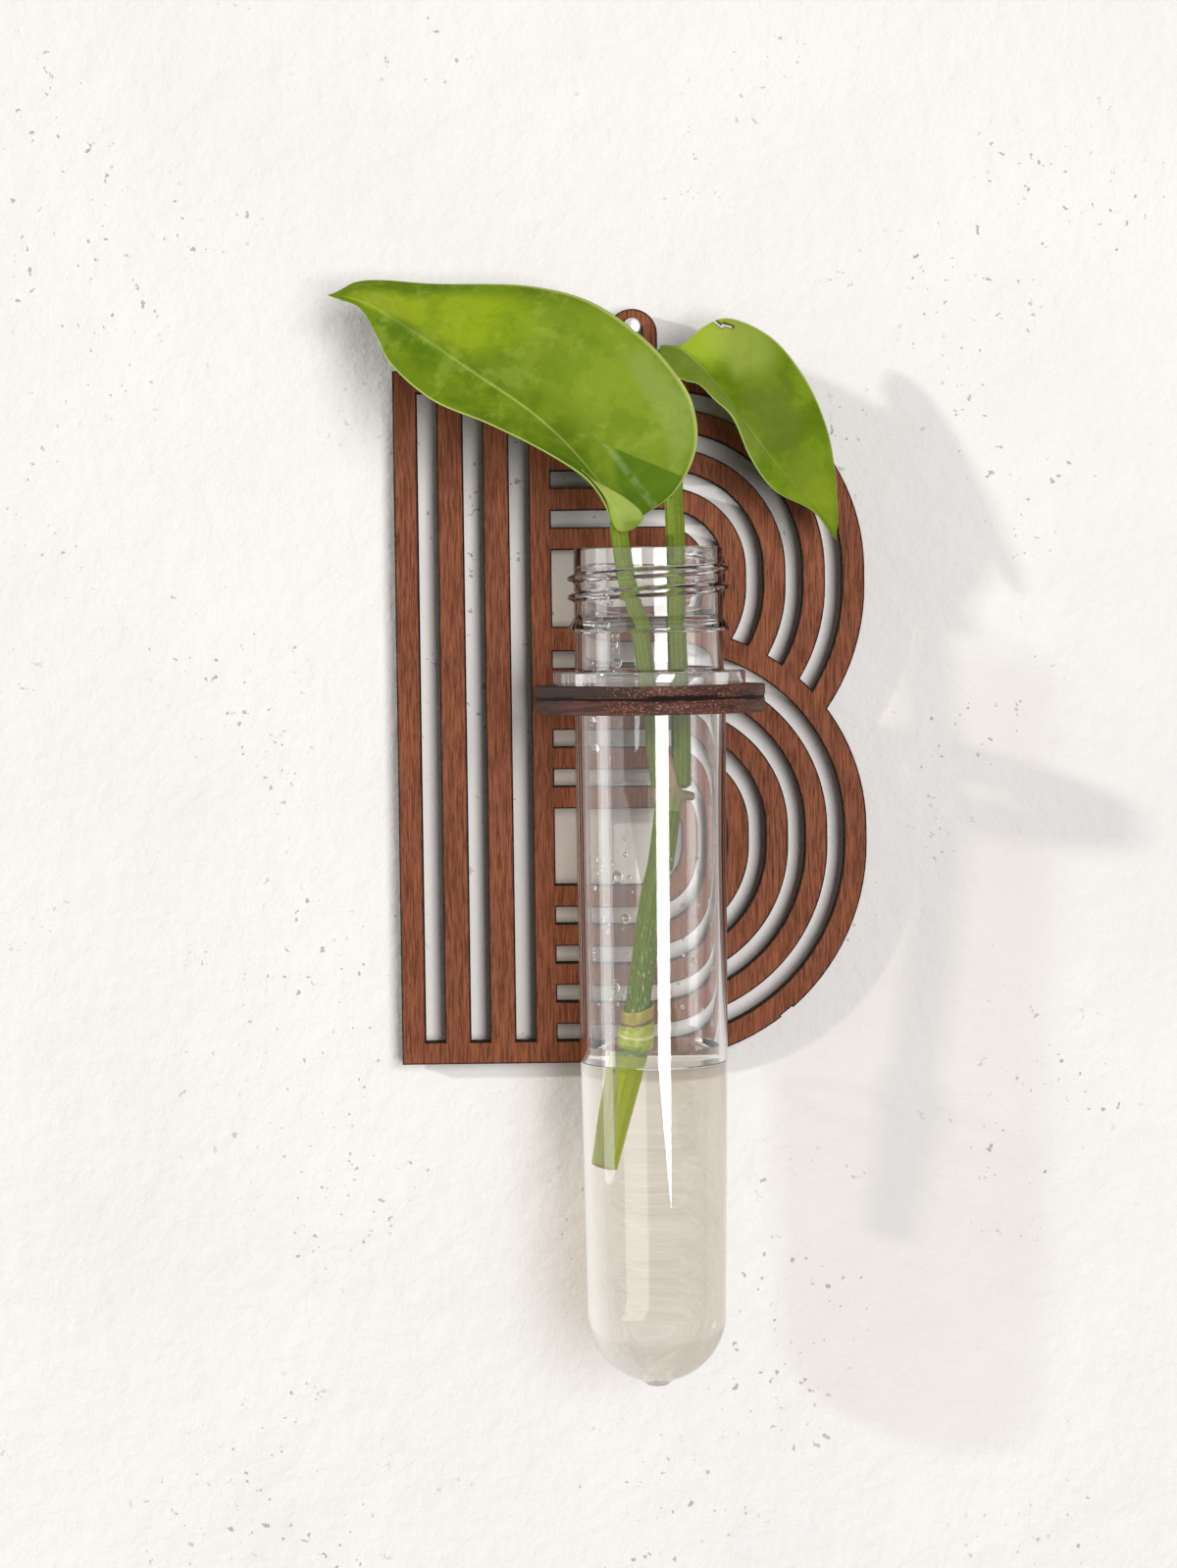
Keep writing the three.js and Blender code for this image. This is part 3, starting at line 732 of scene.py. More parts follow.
# %% [markdown]
# ## Clear plastic and water
#
# Both are clear, so their form is what shows: light bends at each wall. The Principled shader's
# transmission does this. A surface knows only one index, the ratio between its two sides, so
# the wall that the water wets gets the ratio of plastic to water, the water's own skin along
# that wall hardly bends anything, and only its top has the index of water against air. Path
# tracing finds few of the paths from a lamp through clear walls, so a ray that looks for light
# from a matt surface passes straight through by a mix with the Transparent shader. It is dimmed
# as much as the real tube's shadow on the wall is.

# %% Clear finishes
def clear(name, colour, index, shade, roughness=0.0, white=0.0, coat=0.0):
    """white is the share of the light that the surface scatters instead of letting it in."""
    finish = Finish(name, Transmission_Weight=1.0 - white, IOR=index, Roughness=roughness,
                    Coat_Weight=coat, Coat_Roughness=0.02)
    finish.set("Base Color", colour)
    passing = finish.node("ShaderNodeBsdfTransparent", values={"Color": shade})
    shadow = finish.node("ShaderNodeLightPath", output="Is Shadow Ray")
    diffuse = finish.node("ShaderNodeLightPath", output="Is Diffuse Ray")
    finish.behind(shadow.math("MAXIMUM", shadow, diffuse), passing)
    return finish


plastic_index, water_index = 1.57, 1.333
polished, shaded = (0.985, 0.985, 0.98), (0.88, 0.855, 0.825)
plastic = clear("clear_plastic", polished, plastic_index, shaded, coat=0.25)
milky = clear("flange_plastic", (0.96, 0.95, 0.94), plastic_index, shaded, 0.03, 0.12, 0.3)
cut_gate = clear("cut_gate", (0.80, 0.72, 0.67), plastic_index, shaded, 0.4, 0.7)
wetted = clear("wetted_plastic", polished, plastic_index / water_index, shaded)
surface_water = clear("water", (0.985, 0.985, 0.965), water_index, (0.97, 0.965, 0.94))
body_water = clear("water_body", (1.0, 0.985, 0.95), 1.001, (0.98, 0.975, 0.955))
print("Clear finishes:", plastic.material.name, wetted.material.name, body_water.material.name)

# %% [markdown]
# ## The tube
#
# One moulding: neck, screw thread, bead, carrying flange, slightly tapered body, round end and
# the broken-off gate under it. A thread that only lay on the neck would hide a second surface
# inside the plastic, which glass shows. So the neck's outer wall itself swells where the helix
# runs, on rows close enough together to hold its shape.

# %% Build the tube
thread_pitch, thread_turns, thread_drop, thread_start = 3.18, 1.75, 3.07, 1.1126
thread_row = 0.13
bead_below_rim, bead_lip, bead_cone = 14.3, 0.5, 1.9
bead_top = rim_z - bead_below_rim + bead_lip
flange_top = seat_z + flange_thick
tube_steps = 192
seam_angle, seam_rise = 2 * math.pi * 133 / tube_steps, 0.05
curl_height, curl_reach = 0.5, 0.7
contact_z = water_z + curl_height


def smooth_step(value, low, high):
    share = min(1, max(0, (value - low) / (high - low)))
    return share * share * (3 - 2 * share)


def thread_swell(angle, radius, height):
    """How far the thread, and the seam where the mould parts, stand out at one place."""
    seam = abs((angle - seam_angle + math.pi / 2) % math.pi - math.pi / 2) < 0.012
    if radius < neck_radius - 0.35 or height < seat_z or height > rim_z - 0.1:
        return 0
    if radius < neck_radius - 0.01 or height < bead_top + 2.2 or height > rim_z - 0.5:
        return seam_rise if seam else 0
    most = 0
    for lap in range(-1, 3):
        turn = (thread_start - angle) / (2 * math.pi) + lap
        fade = smooth_step(turn, -0.07, 0.05) * smooth_step(thread_turns - turn, -0.07, 0.05)
        away = abs(height - (rim_z - thread_drop - thread_pitch * turn))
        most = max(most, fade * (1 - smooth_step(away, 0.2, 1.0)))
    return most * (thread_radius - neck_radius) + (seam_rise if seam else 0)


def bore_at(height):
    """The bore between the waist and the flange, where the body still widens a little."""
    share = (height - waist_z) / (seat_z - waist_z)
    return waist_bore + (bore - waist_bore) * max(0, min(1, share))


def bead_profile():
    """From the neck down the bead's cone, round its lip and back to the neck."""
    return [(neck_radius + 0.05, bead_top + bead_cone), (bead_radius - 0.15, bead_top + 0.12),
            (bead_radius - 0.03, bead_top), (bead_radius, bead_top - 0.2),
            (bead_radius - 0.05, bead_top - 0.42), (bead_radius - 0.2, bead_top - bead_lip),
            (neck_radius + 0.25, bead_top - bead_lip), (neck_radius, bead_top - 0.75)]


def flange_profile():
    return [(neck_radius, flange_top + 0.35), (neck_radius + 0.3, flange_top),
            (flange_radius - 0.3, flange_top), (flange_radius - 0.08, flange_top - 0.1),
            (flange_radius, flange_top - 0.35), (flange_radius, seat_z + 0.35),
            (flange_radius - 0.08, seat_z + 0.1), (flange_radius - 0.3, seat_z),
            (body_radius + 0.25, seat_z), (body_radius, seat_z - 0.3)]


def gate_profile():
    """The broken-off stub of the plastic's inlet, whose end bulges a little."""
    steps = [(3.1, 0.33), (2.7, 0.12), (2.35, -0.12), (2.1, -0.38), (1.9, -0.58), (1.6, -0.68),
             (1.1, -0.7), (0.6, -0.64), (0, -0.6)]
    return [(radius, tube_bottom + rise) for radius, rise in steps]


def tube_profile():
    """From the middle of the bore's end up to the rim, over it and down the outside."""
    inside_end = arc((0, inner_bottom + foot_bore), foot_bore, -math.pi / 2, 0, 20)
    inside_end[0] = (0, inner_bottom)
    neck_rows = np.arange(rim_z - 0.5, bead_top + 2.05, -thread_row)
    outside_end = arc((0, dome_z), foot_radius, 0, -math.pi / 2, 28)
    outside_end = [(r, z) for r, z in outside_end if r > 3.5]
    return [
        *inside_end, (waist_bore, waist_z), (bore_at(contact_z), contact_z), (bore, seat_z),
        (bore, rim_z - 0.35), (bore + 0.1, rim_z - 0.1), (bore + 0.35, rim_z),
        (neck_radius - 0.3, rim_z), (neck_radius - 0.07, rim_z - 0.08),
        (neck_radius, rim_z - 0.3), *[(neck_radius, z) for z in neck_rows],
        *bead_profile(), *flange_profile(), (waist_radius, waist_z), *outside_end,
        *gate_profile(),
    ]


tube_mesh = turned(tube_profile(), (axis_x, axis_y), tube_steps, thread_swell)


def from_axis(x, y):
    return math.hypot(x - axis_x, y - axis_y)


def is_wetted(x, y, z):
    """The bore below the water's edge, on the straight part or in the round end."""
    if z > dome_z:
        return z < contact_z and from_axis(x, y) < bore_at(z) + 0.3
    return math.dist((x, y, z), (axis_x, axis_y, dome_z)) < foot_bore + 0.4


def is_flange(x, y, z):
    return from_axis(x, y) > body_radius + 0.25 and abs(z - seat_z - 1.2) < 1.5


def is_gate(x, y, z):
    return z < tube_bottom + 0.2


piece("tube", *tube_mesh, plastic, "tube", "test_tube", "clear_plastic", sharp=35,
      others=[(wetted, is_wetted), (milky, is_flange), (cut_gate, is_gate)])

# %% [markdown]
# ## The water
#
# It fills the round end and the bore up to its level, a hair inside the plastic. Its surface
# curls up at the wall, and that curl is what draws the bright double line in the photograph.
# The rings of its top lie closer together the nearer they are to the wall.

# %% Build the water
skin_gap = 0.02
top_rings = (0, 0.05, 0.12, 0.2, 0.3, 0.42, 0.57, 0.75, 1, 1.3, 1.7, 2.2, 3, 4, 5.5, 7.5, 9.5)


def water_profile():
    end = arc((0, inner_bottom + foot_bore), foot_bore - skin_gap, -math.pi / 2, 0, 20)
    end[0] = (0, inner_bottom + skin_gap)
    edge = bore_at(contact_z) - skin_gap
    top = [(waist_bore - skin_gap, waist_z)] if waist_z < contact_z else []
    for reach in top_rings:
        top.append((edge - reach, water_z + curl_height * math.exp(-reach / curl_reach)))
    return [*end, *top, (0, water_z)]


def is_side(x, y, z):
    return z < water_z or from_axis(x, y) > bore_at(z) - skin_gap - 0.002


piece("tube_water", *turned(water_profile(), (axis_x, axis_y), 128), surface_water, "tube", "water",
      "water", sharp=60, others=[(body_water, is_side)])

# %% [markdown]
# ## Drops
#
# Splashes cling to the bore above the water, a few of them big enough to show the room upside
# down. Each is a low blob, flattened along the wall that it sits on and drawn out downwards.
# The big ones stand where the photograph shows them, and the places of the others are drawn
# from a seeded random generator: a band above the water, some in the neck and some behind.

# %% Build the drops
drop_rings, drop_sides = 6, 12
big_drops = [(-0.93, -72.6, 0.8), (-0.54, -94.2, 1.0), (-0.42, -101.2, 0.9), (-0.6, -113.2, 0.8),
             (-0.98, -68, 0.8), (-0.55, -55, 0.8), (-0.5, -58, 0.9), (-0.75, -43.5, 0.7),
             (-0.62, -47.5, 0.8), (-0.66, -52.4, 0.7)]


def drop_spots(places):
    """Where each drop sits: the angle round the bore, the height and its radius."""
    spots = list(big_drops)
    for i in range(46):
        turn = places.choice((-1, -1, 1)) * places.uniform(0.25, 1.05)
        spots.append((turn, places.uniform(-119, -90), places.choice((0.2, 0.24, 0.3, 0.4))))
    for i in range(16):
        turn = places.uniform(-1.0, -0.3)
        spots.append((turn, places.uniform(-60, -41), places.uniform(0.18, 0.4)))
    for i in range(14):
        turn = places.uniform(1.6, 4.6)
        spots.append((turn, places.uniform(-119, -70), places.uniform(0.2, 0.5)))
    return spots


def drops():
    places = random.Random(7)
    points, faces = [], []
    for turn, height, radius in drop_spots(places):
        wall = bore_at(height) + 0.01
        out = Vector((math.sin(turn), -math.cos(turn), 0))
        beside = Vector((math.cos(turn), math.sin(turn), 0))
        middle = Vector((axis_x, axis_y, height))
        low, swell = 1.1 + places.random() * 0.4, places.uniform(0.42, 0.5)
        start = len(points)
        for ring in range(drop_rings + 1):
            tilt = math.pi * ring / drop_rings
            for j in range(drop_sides):
                angle = 2 * math.pi * j / drop_sides
                across = radius * math.sin(tilt) * math.cos(angle)
                rise = radius * math.sin(tilt) * math.sin(angle)
                rise *= low if rise < 0 else 1
                reach = wall - radius * swell * (1 + math.cos(tilt)) - across ** 2 / (2 * wall)
                points.append(middle + beside * across + out * reach + Vector((0, 0, rise)))
        for ring in range(drop_rings):
            at = start + ring * drop_sides
            faces += band(at, at + drop_sides, drop_sides)
    return weld(points, faces)


def weld(points, faces):
    """Joins points that coincide, and drops what the faces lose by it."""
    names, kept, where = {}, [], []
    for point in points:
        key = tuple(round(part, 5) for part in point)
        if key not in names:
            names[key] = len(kept)
            kept.append(tuple(point))
        where.append(names[key])
    faces = [tuple(dict.fromkeys(where[i] for i in face)) for face in faces]
    return kept, [face for face in faces if len(face) > 2]


piece("tube_drops", *drops(), surface_water, "tube", None, "water", sharp=80)

# %% [markdown]
# ## The skin of the stalks
#
# The stalks are waxy and ribbed along their length. Their lines don't run along an axis, so the
# mesh carries the share along each stalk as `along` and the angle round it as `round`, and the
# finish draws the ribs and the colour change from those. `cut` is 1 on the flat of a cut, which
# is paler, with a brown end. A stalk without that layer reads it as 0.

# %% Plant skin
def plant_skin(name, low, high, rib=9, gloss=0.38, shine=0.12, relief=0.00016, painted_glints=0.0):
    """painted_glints is the share of pale flecks of painted highlight near the foot of the stalk."""
    skin = Finish(name, Specular_IOR_Level=shine)
    along, turn, cut = skin.painted("along"), skin.painted("round"), skin.painted("cut")
    ribs = skin.node("ShaderNodeMath", {"operation": "SINE"}, {0: turn * (rib * 2 * math.pi)})
    speckle = skin.noise(1400, detail=3)
    patches = skin.noise(160, detail=2)
    colour = skin.mix(skin.span(along + (patches - 0.5) * 0.5, 0.0, 1.0), low, high)
    pale = tuple(min(1, 1.5 * part + 0.02) for part in high)
    colour = skin.mix(skin.span(ribs * 0.22 + speckle, 0.5, 0.95) * 0.4, colour, pale)
    colour = skin.mix(cut * 0.85, colour, srgb(160, 168, 106))
    end = skin.span(along - cut * 0.02, 0.0, 0.02, 1, 0)
    colour = skin.mix(end * cut * 0.6, colour, srgb(150, 116, 100))
    if painted_glints:
        # Painted highlights: pale flecks that stand for glints of light on the stalk near its foot.
        fleck = skin.span(skin.noise(1, detail=2, space=skin.stretched(2400, 2400, 750)), 0.6, 0.68)
        colour = skin.mix(fleck * skin.span(along, 0.7, 0.15) * painted_glints, colour, srgb(214, 228, 176))
    skin.set("Base Color", colour)
    skin.set("Roughness", gloss + speckle * 0.25)
    skin.relief(ribs * 0.5 + speckle * 1.3, relief)
    return skin


def stalk(name, line, radius_at, finish, stands_for, slot, sides=28):
    points, faces, along = swept(line, radius_at, sides)
    turn = [abs(2 * (i % sides) / sides - 1) for i in range(len(points))]
    return piece(name, points, faces, finish, "cutting", stands_for, slot,
                 {"along": along, "round": turn})


def round_ends(radius, length, millimetres=0.5, low=1.0, high=1.0):
    """A radius that closes in over the last bit of each end."""
    def radius_at(share, angle):
        from_end = min(share, 1 - share) * length
        close = math.sqrt(1 - (1 - min(1, from_end / millimetres)) ** 2)
        taper = low + (high - low) * share
        return radius * taper * (0.55 + 0.45 * close) * (1 + 0.012 * math.sin(7 * angle))
    return radius_at


stem_points = [
    from_seat(-7.4, -2, -83), from_seat(-5.4, -2, -73), from_seat(-3.4, -2, -62.7),
    from_seat(-2.6, -2, -54.3), from_seat(-1.5, -2, -47), from_seat(0, -2, -37),
    from_seat(1.5, -1.7, -30.6), from_seat(2.5, -1.3, -24), from_seat(3.4, -1, -18),
]
stem_line = smooth_line(stem_points, 600)
stem_length = run_along(stem_line)[-1]
print("The stem is", round(stem_length, 1), "mm long")

# %% [markdown]
# ## The stem
#
# Under water it is thick and bright, then a swollen pale ring marks an old leaf's place, and
# above it the stem is darker and ribbed up to the fork.

# %% Build the stem
collar_start, collar_end, dish_depth = 20.0, 29.4, 2.6
wet_radius, stem_radius, collar_size = 2.35, 2.1, 3.1
sheath_start = stem_length - 3.6
wet_green = plant_skin("wet_green", srgb(172, 186, 24), srgb(160, 178, 18), rib=5)
stem_green = plant_skin("stem_green", srgb(92, 120, 2), srgb(100, 118, 8), gloss=0.25, shine=0.12,
                        painted_glints=0.6)
cut_side, stem_sides = -2.45, 56
stem_width = round_ends(wet_radius, collar_start, 0.3, 0.9, 1.1)


def cut_depth(share):
    """How far the flat of the long slanted cut lies from the stem's axis."""
    return 0.45 + 1.9 * smooth_step(share, 0.0, 0.95)


def below_radius(share, angle):
    full = stem_width(share, angle)
    facing = math.cos(angle - cut_side)
    return min(full, cut_depth(share) / facing) if facing > 0.1 else full


def build_stem_below():
    line = even_points(stem_line, 0, collar_start + 0.3, 70)
    points, faces, along = swept(line, below_radius, stem_sides)
    angles = [2 * math.pi * (i % stem_sides) / stem_sides for i in range(len(points))]
    flat = [float(below_radius(share, angle) < 0.97 * stem_width(share, angle))
            for share, angle in zip(along, angles)]
    turn = [abs(angle / math.pi - 1) for angle in angles]
    piece("stem_below", points, faces, wet_green, "cutting", "stem_lower", "stem_green",
          {"along": along, "round": turn, "cut": flat})


def collar_finish():
    """A pale crescent scar and a brown dish, drawn by the place along and round the ring."""
    ring = Finish("ring_green", Specular_IOR_Level=0.5)
    along, turn = ring.painted("along"), ring.painted("round")
    fine = ring.noise(900, detail=3)
    colour = ring.mix(ring.span(fine, 0.35, 0.65), srgb(150, 168, 44), srgb(176, 190, 70))
    smile = along - turn * turn * 0.3
    crescent = ring.span(smile, 0.28, 0.32) * ring.span(smile, 0.33, 0.38, 1, 0)
    colour = ring.mix(crescent * 0.85, colour, srgb(226, 230, 166))
    base = ring.span(smile + (fine - 0.5) * 0.05, 0.06, 0.12, 1, 0)
    colour = ring.mix(base, colour, srgb(88, 122, 22))
    dish = ring.span(along + (fine - 0.5) * 0.05, 0.6, 0.66)
    colour = ring.mix(dish, colour, ring.mix(fine, srgb(140, 124, 34), srgb(184, 170, 74)))
    frayed = along + (fine - 0.5) * 0.09
    brown = ring.span(frayed, 0.575, 0.605) * ring.span(frayed, 0.635, 0.67, 1, 0)
    colour = ring.mix(brown, colour, srgb(96, 62, 20))
    ring.set("Base Color", colour)
    ring.set("Roughness", 0.3 + fine * 0.2 + brown * 0.2)
    ring.relief(fine - crescent * 0.5, 0.0001)
    return ring


def collar_radius(share, angle):
    """From the dark foot up through the swollen ring and a crease, then down into a dish."""
    foot = 0.82 + 0.18 * smooth_step(share, 0.05, 0.2)
    swell = foot - 0.14 * smooth_step(share, 0.45, 0.62) + 0.05 * smooth_step(share, 0.66, 0.86)
    if share > 0.88:
        swell = 0.91 - 0.3 * ((share - 0.88) / 0.12) ** 0.8
    return collar_size * swell * (1 + 0.02 * math.sin(3 * angle + 1))


def build_collar():
    """The ring's top is tilted, and its last eighth is bent down again into the dish."""
    line = even_points(stem_line, collar_start - 0.2, collar_end, 80)
    points, faces, along = swept(line, collar_radius, stem_sides)
    turn = []
    for i, (share, point) in enumerate(zip(along, points)):
        angle = 2 * math.pi * (i % stem_sides) / stem_sides
        slope = 0.27 * (point[0] - line[-1][0]) + 0.3 * (point[1] - line[-1][1])
        dip = 1.5 * smooth_step(share, 0.88, 1.0)
        points[i] = point + np.array((0, 0, slope * smooth_step(share, 0.3, 0.8) - dip))
        turn.append(abs(((angle - math.pi / 2) / math.pi) % 2 - 1))
    piece("collar", points, faces, collar_finish(), "cutting", "stem_node_collar", "collar_green",
          {"along": along, "round": turn})


build_stem_below()
build_collar()
stalk("stem_above", even_points(stem_line, collar_end - dish_depth, sheath_start + 0.6, 120),
      round_ends(stem_radius, sheath_start - collar_end, 0.3, 0.98, 1.08),
      stem_green, "stem_upper", "stem_green")

# %% [markdown]
# ## The fork
#
# A papery brown sheath wraps the place where the two leaf stalks part, and the dry stub of a
# shed leaf points to the right.

# %% Build the fork and the leaf stalks
sheath_skin = plant_skin("sheath_skin", srgb(124, 150, 84), srgb(150, 138, 104), rib=6)
fork = stem_line[-1]


def sheath_radius(share, angle):
    return 2.35 + 0.5 * smooth_step(share, 0.1, 0.8) - 0.25 * smooth_step(share, 0.85, 1.0)


stalk("fork_sheath_skin", even_points(stem_line, sheath_start, stem_length, 24), sheath_radius,
      sheath_skin, "fork_sheath", "sheath_brown")
stub_line = smooth_line([
    fork + (0.6, 0.1, -0.9), fork + (2.2, 0, -1.0), fork + (4.1, -0.1, -1.3),
], 30)
stub_skin = plant_skin("stub_skin", srgb(112, 118, 66), srgb(150, 138, 104), rib=3)


def stub_radius(share, angle):
    blunt = math.sqrt(max(0, 1 - max(0, (share - 0.9) / 0.1) ** 2)) * 0.8 + 0.2
    return (1.0 - 0.3 * share) * blunt * (1 + 0.04 * math.sin(3 * angle))


stalk("leaf_stub", stub_line, stub_radius, stub_skin, None, "sheath_brown", sides=24)


def papery_sheath():
    """A dry, pointed husk that stands between the two leaf stalks, with a ragged edge."""
    rows, columns, thick = 22, 12, 0.12
    points, faces = [], []
    for side in (0, 1):
        for i in range(rows + 1):
            share = i / rows
            half = 1.45 * (1 - share) ** 0.55 + 0.12
            for j in range(columns + 1):
                across = 2 * j / columns - 1
                ragged = 0.1 * math.sin(35 * share + 3 * across) * abs(across)
                bow = 0.9 * (1 - across ** 2) * (1 - 0.5 * share)
                points.append(fork + (0.55 + across * (half + ragged) - 0.9 * share,
                                      -0.75 - bow - side * thick, -0.5 + 6.6 * share))
    width, layer = columns + 1, (rows + 1) * (columns + 1)
    for i in range(rows):
        for j in range(columns):
            for side in (0, 1):
                at = side * layer + i * width + j
                faces.append((at, at + 1, at + width + 1, at + width))
    border = [*range(width), *[i * width + columns for i in range(1, rows + 1)],
              *[rows * width + j for j in range(columns - 1, -1, -1)],
              *[i * width for i in range(rows - 1, 0, -1)]]
    for here, there in zip(border, border[1:] + border[:1]):
        faces.append((here, there, layer + there, layer + here))
    return points, faces


husk = Finish("papery_husk", Roughness=0.55, Specular_IOR_Level=0.3)
husk_lines = husk.noise(1, detail=3, space=husk.stretched(3200, 3200, 300))
husk.set("Base Color", husk.mix(husk_lines, srgb(120, 88, 72), srgb(188, 158, 132)))
husk.relief(husk_lines, 0.00008)
piece("fork_husk", *papery_sheath(), husk, "cutting", None, "sheath_brown", sharp=70)

petiole_green = plant_skin("petiole_green", srgb(94, 112, 24), srgb(122, 142, 44), rib=5, gloss=0.3)
left_stalk = smooth_line([
    fork + (-1.75, 0, 0.2), from_seat(0.8, -1.3, -10.5), from_seat(0.5, -1.5, -5.3),
    from_seat(-0.7, -2, 3), from_seat(-1.8, -2.7, 10), from_rim(-3.5, -3.5, -7),
    from_rim(-4.4, -4.4, -1.7), from_rim(-4.9, -5.4, 2.6), from_rim(-5.1, -6.2, 4.4),
], 110)
right_stalk = smooth_line([
    fork + (1.85, 0, 0.2), from_seat(5.2, -1, -3.7), from_rim(4.7, -0.5, -13.7),
    from_rim(4.8, 0.5, -0.3), from_rim(4.6, 2, 8.2), from_rim(4.3, 4, 18.4),
    from_rim(3.4, 5.5, 26.9), from_rim(2, 6, 32.9), from_rim(1.9, 5.8, 34.2),
], 130)
stalk("left_petiole_skin", left_stalk, round_ends(1.5, 44, 0.4, 1.02, 1.0), petiole_green,
      "left_petiole", "stem_green")
stalk("right_petiole_skin", right_stalk, round_ends(1.65, 74, 0.4, 1.02, 0.98), petiole_green,
      "right_petiole", "stem_green")

# %% [markdown]
# ## The leaves
#
# A blade is spread between three smooth lines: its midrib and its two margins. On a fine grid it
# also gets what makes a leaf look alive: side veins that sink a little into the face, a groove
# along the midrib, a slight wave of the margin, and a rim that thins out. The grid's place along
# and across the blade is painted on the mesh, so the finish can draw the veins exactly there.
# `back` is 1 on the side that faces the wall.

# %% Build a blade
tear_half_width = 0.27
side_veins, vein_slant, vein_width, vein_depth = 11, 2.2, 0.1, 0.04
groove_depth, groove_width = 0.22, 0.035
wave_height, tip_share = 0.15, 0.045


def distance_to_line(points, line):
    """The least distance from each point to the straight pieces of a line."""
    least = np.full(points.shape[:-1], np.inf)
    for a, b in zip(line, line[1:]):
        a, b = np.array(a), np.array(b)
        share = np.clip((points - a) @ (b - a) / ((b - a) @ (b - a)), 0, 1)
        least = np.minimum(least, np.linalg.norm(points - a - share[..., None] * (b - a), axis=-1))
    return least


def blade_grid(midrib, upper, lower, steps, bend):
    """Points, outward directions, and how far each point lies along and across the blade."""
    lines = [smooth_line(points, steps[0] + 1) for points in (midrib, upper, lower)]
    u = np.linspace(0, 1, steps[0] + 1)[:, None]
    v = np.linspace(-1, 1, 2 * steps[1] + 1)[None, :]
    point_end = np.minimum(1, (1 - u) / tip_share) ** 0.75
    middle = lines[0][:, None, :]
    margin = np.where((v > 0)[..., None], lines[1][:, None, :], lines[2][:, None, :])
    grid = middle + (margin - middle) * (np.abs(v) * point_end)[..., None]
    normal = np.cross(np.gradient(grid, axis=0), np.gradient(grid, axis=1))
    normal /= np.maximum(np.linalg.norm(normal, axis=2), 1e-9)[:, :, None]
    width = np.linalg.norm(grid[:, -1] - grid[:, 0], axis=1)[:, None]
    room = np.clip(width / 12, 0, 1)
    from_vein = (u * side_veins - np.abs(v) * vein_slant) % 1 - 0.5
    vein = np.exp(-(from_vein / vein_width) ** 2) * (1 - v ** 2)
    groove = groove_depth * np.exp(-(v / groove_width) ** 2) * np.clip((1 - u) * 3, 0, 1)
    wave = wave_height * np.sin(9 * u + 2 * np.sign(v)) * v ** 4
    rise = (bend(u, v) - vein_depth * vein - groove + wave) * room
    return grid + normal * rise[:, :, None], normal, u, v, vein, width


def shell_faces(solid, rows, columns):
    """Faces on both sides of a grid of points where a cell is solid, and walls round them."""
    layer = rows * columns
    faces = []

    def wall(start, end):
        faces.append((start, end, layer + end, layer + start))

    for i in range(rows - 1):
        for j in range(columns - 1):
            if not solid[i + 1, j + 1]:
                continue
            at = i * columns + j
            beside, after = at + 1, at + columns
            for side in (0, layer):
                faces.append((side + at, side + after, side + after + 1, side + beside))
            if not solid[i, j + 1]:
                wall(at, beside)
            if not solid[i + 2, j + 1]:
                wall(after, after + 1)
            if not solid[i + 1, j]:
                wall(at, after)
            if not solid[i + 1, j + 2]:
                wall(beside, after + 1)
    return faces


def blade(name, midrib, upper, lower, finish, stands_for, bend, steps=(150, 36), thick=0.5,
          tear=None):
    """tear is a line of (x, z) points along which the blade has a hole."""
    grid, normal, u, v, vein, width = blade_grid(midrib, upper, lower, steps, bend)
    rows, columns = grid.shape[:2]
    rim = np.minimum((1 - np.abs(v)) * width / 2, np.minimum(u, 1 - u) * 60)
    thinner = np.clip(np.sqrt(np.clip(rim, 0, 0.5) / 0.5), 0.25, 1) * np.clip(width / 3, 0.3, 1)
    half = normal * (thick / 2 * thinner)[:, :, None]
    points = np.concatenate([(grid + half).reshape(-1, 3), (grid - half).reshape(-1, 3)])
    torn = np.full((rows, columns), 9.0)
    if tear:
        torn = distance_to_line(grid[..., [0, 2]], tear)
    cell = (torn[:-1, :-1] + torn[1:, :-1] + torn[:-1, 1:] + torn[1:, 1:]) / 4
    solid = np.zeros((rows + 1, columns + 1), bool)
    solid[1:-1, 1:-1] = cell > tear_half_width
    faces = shell_faces(solid, rows, columns)
    used = sorted({corner for face in faces for corner in face})
    names = {old: new for new, old in enumerate(used)}
    faces = [tuple(names[corner] for corner in face) for face in faces]

    def on_points(values):
        return np.tile(np.broadcast_to(values, (rows, columns)).reshape(-1), 2)[used]

    away = float(normal[..., 1].mean() > 0)
    back = np.repeat([away, 1 - away], rows * columns)[used]
    paint = {"along": on_points(u), "across": on_points(v), "vein": on_points(vein),
             "torn": on_points(torn), "back": back}
    return piece(name, points[used], faces, finish, "cutting", stands_for, "leaf_green", paint,
                 sharp=80)


# %% [markdown]
# ## The finish of a leaf
#
# The leaf is thin and lit through, so its green is bright and drifts from patch to patch. Each
# patch is a soft oval at a place along and across the blade, and noise breaks its outline up.
# The rim and the midrib are pale, a torn place has a brown lip, and the back is paler and
# duller. Marbling and the crisp shade of the leaf's own fold, at its foot, are the left leaf's
# alone.

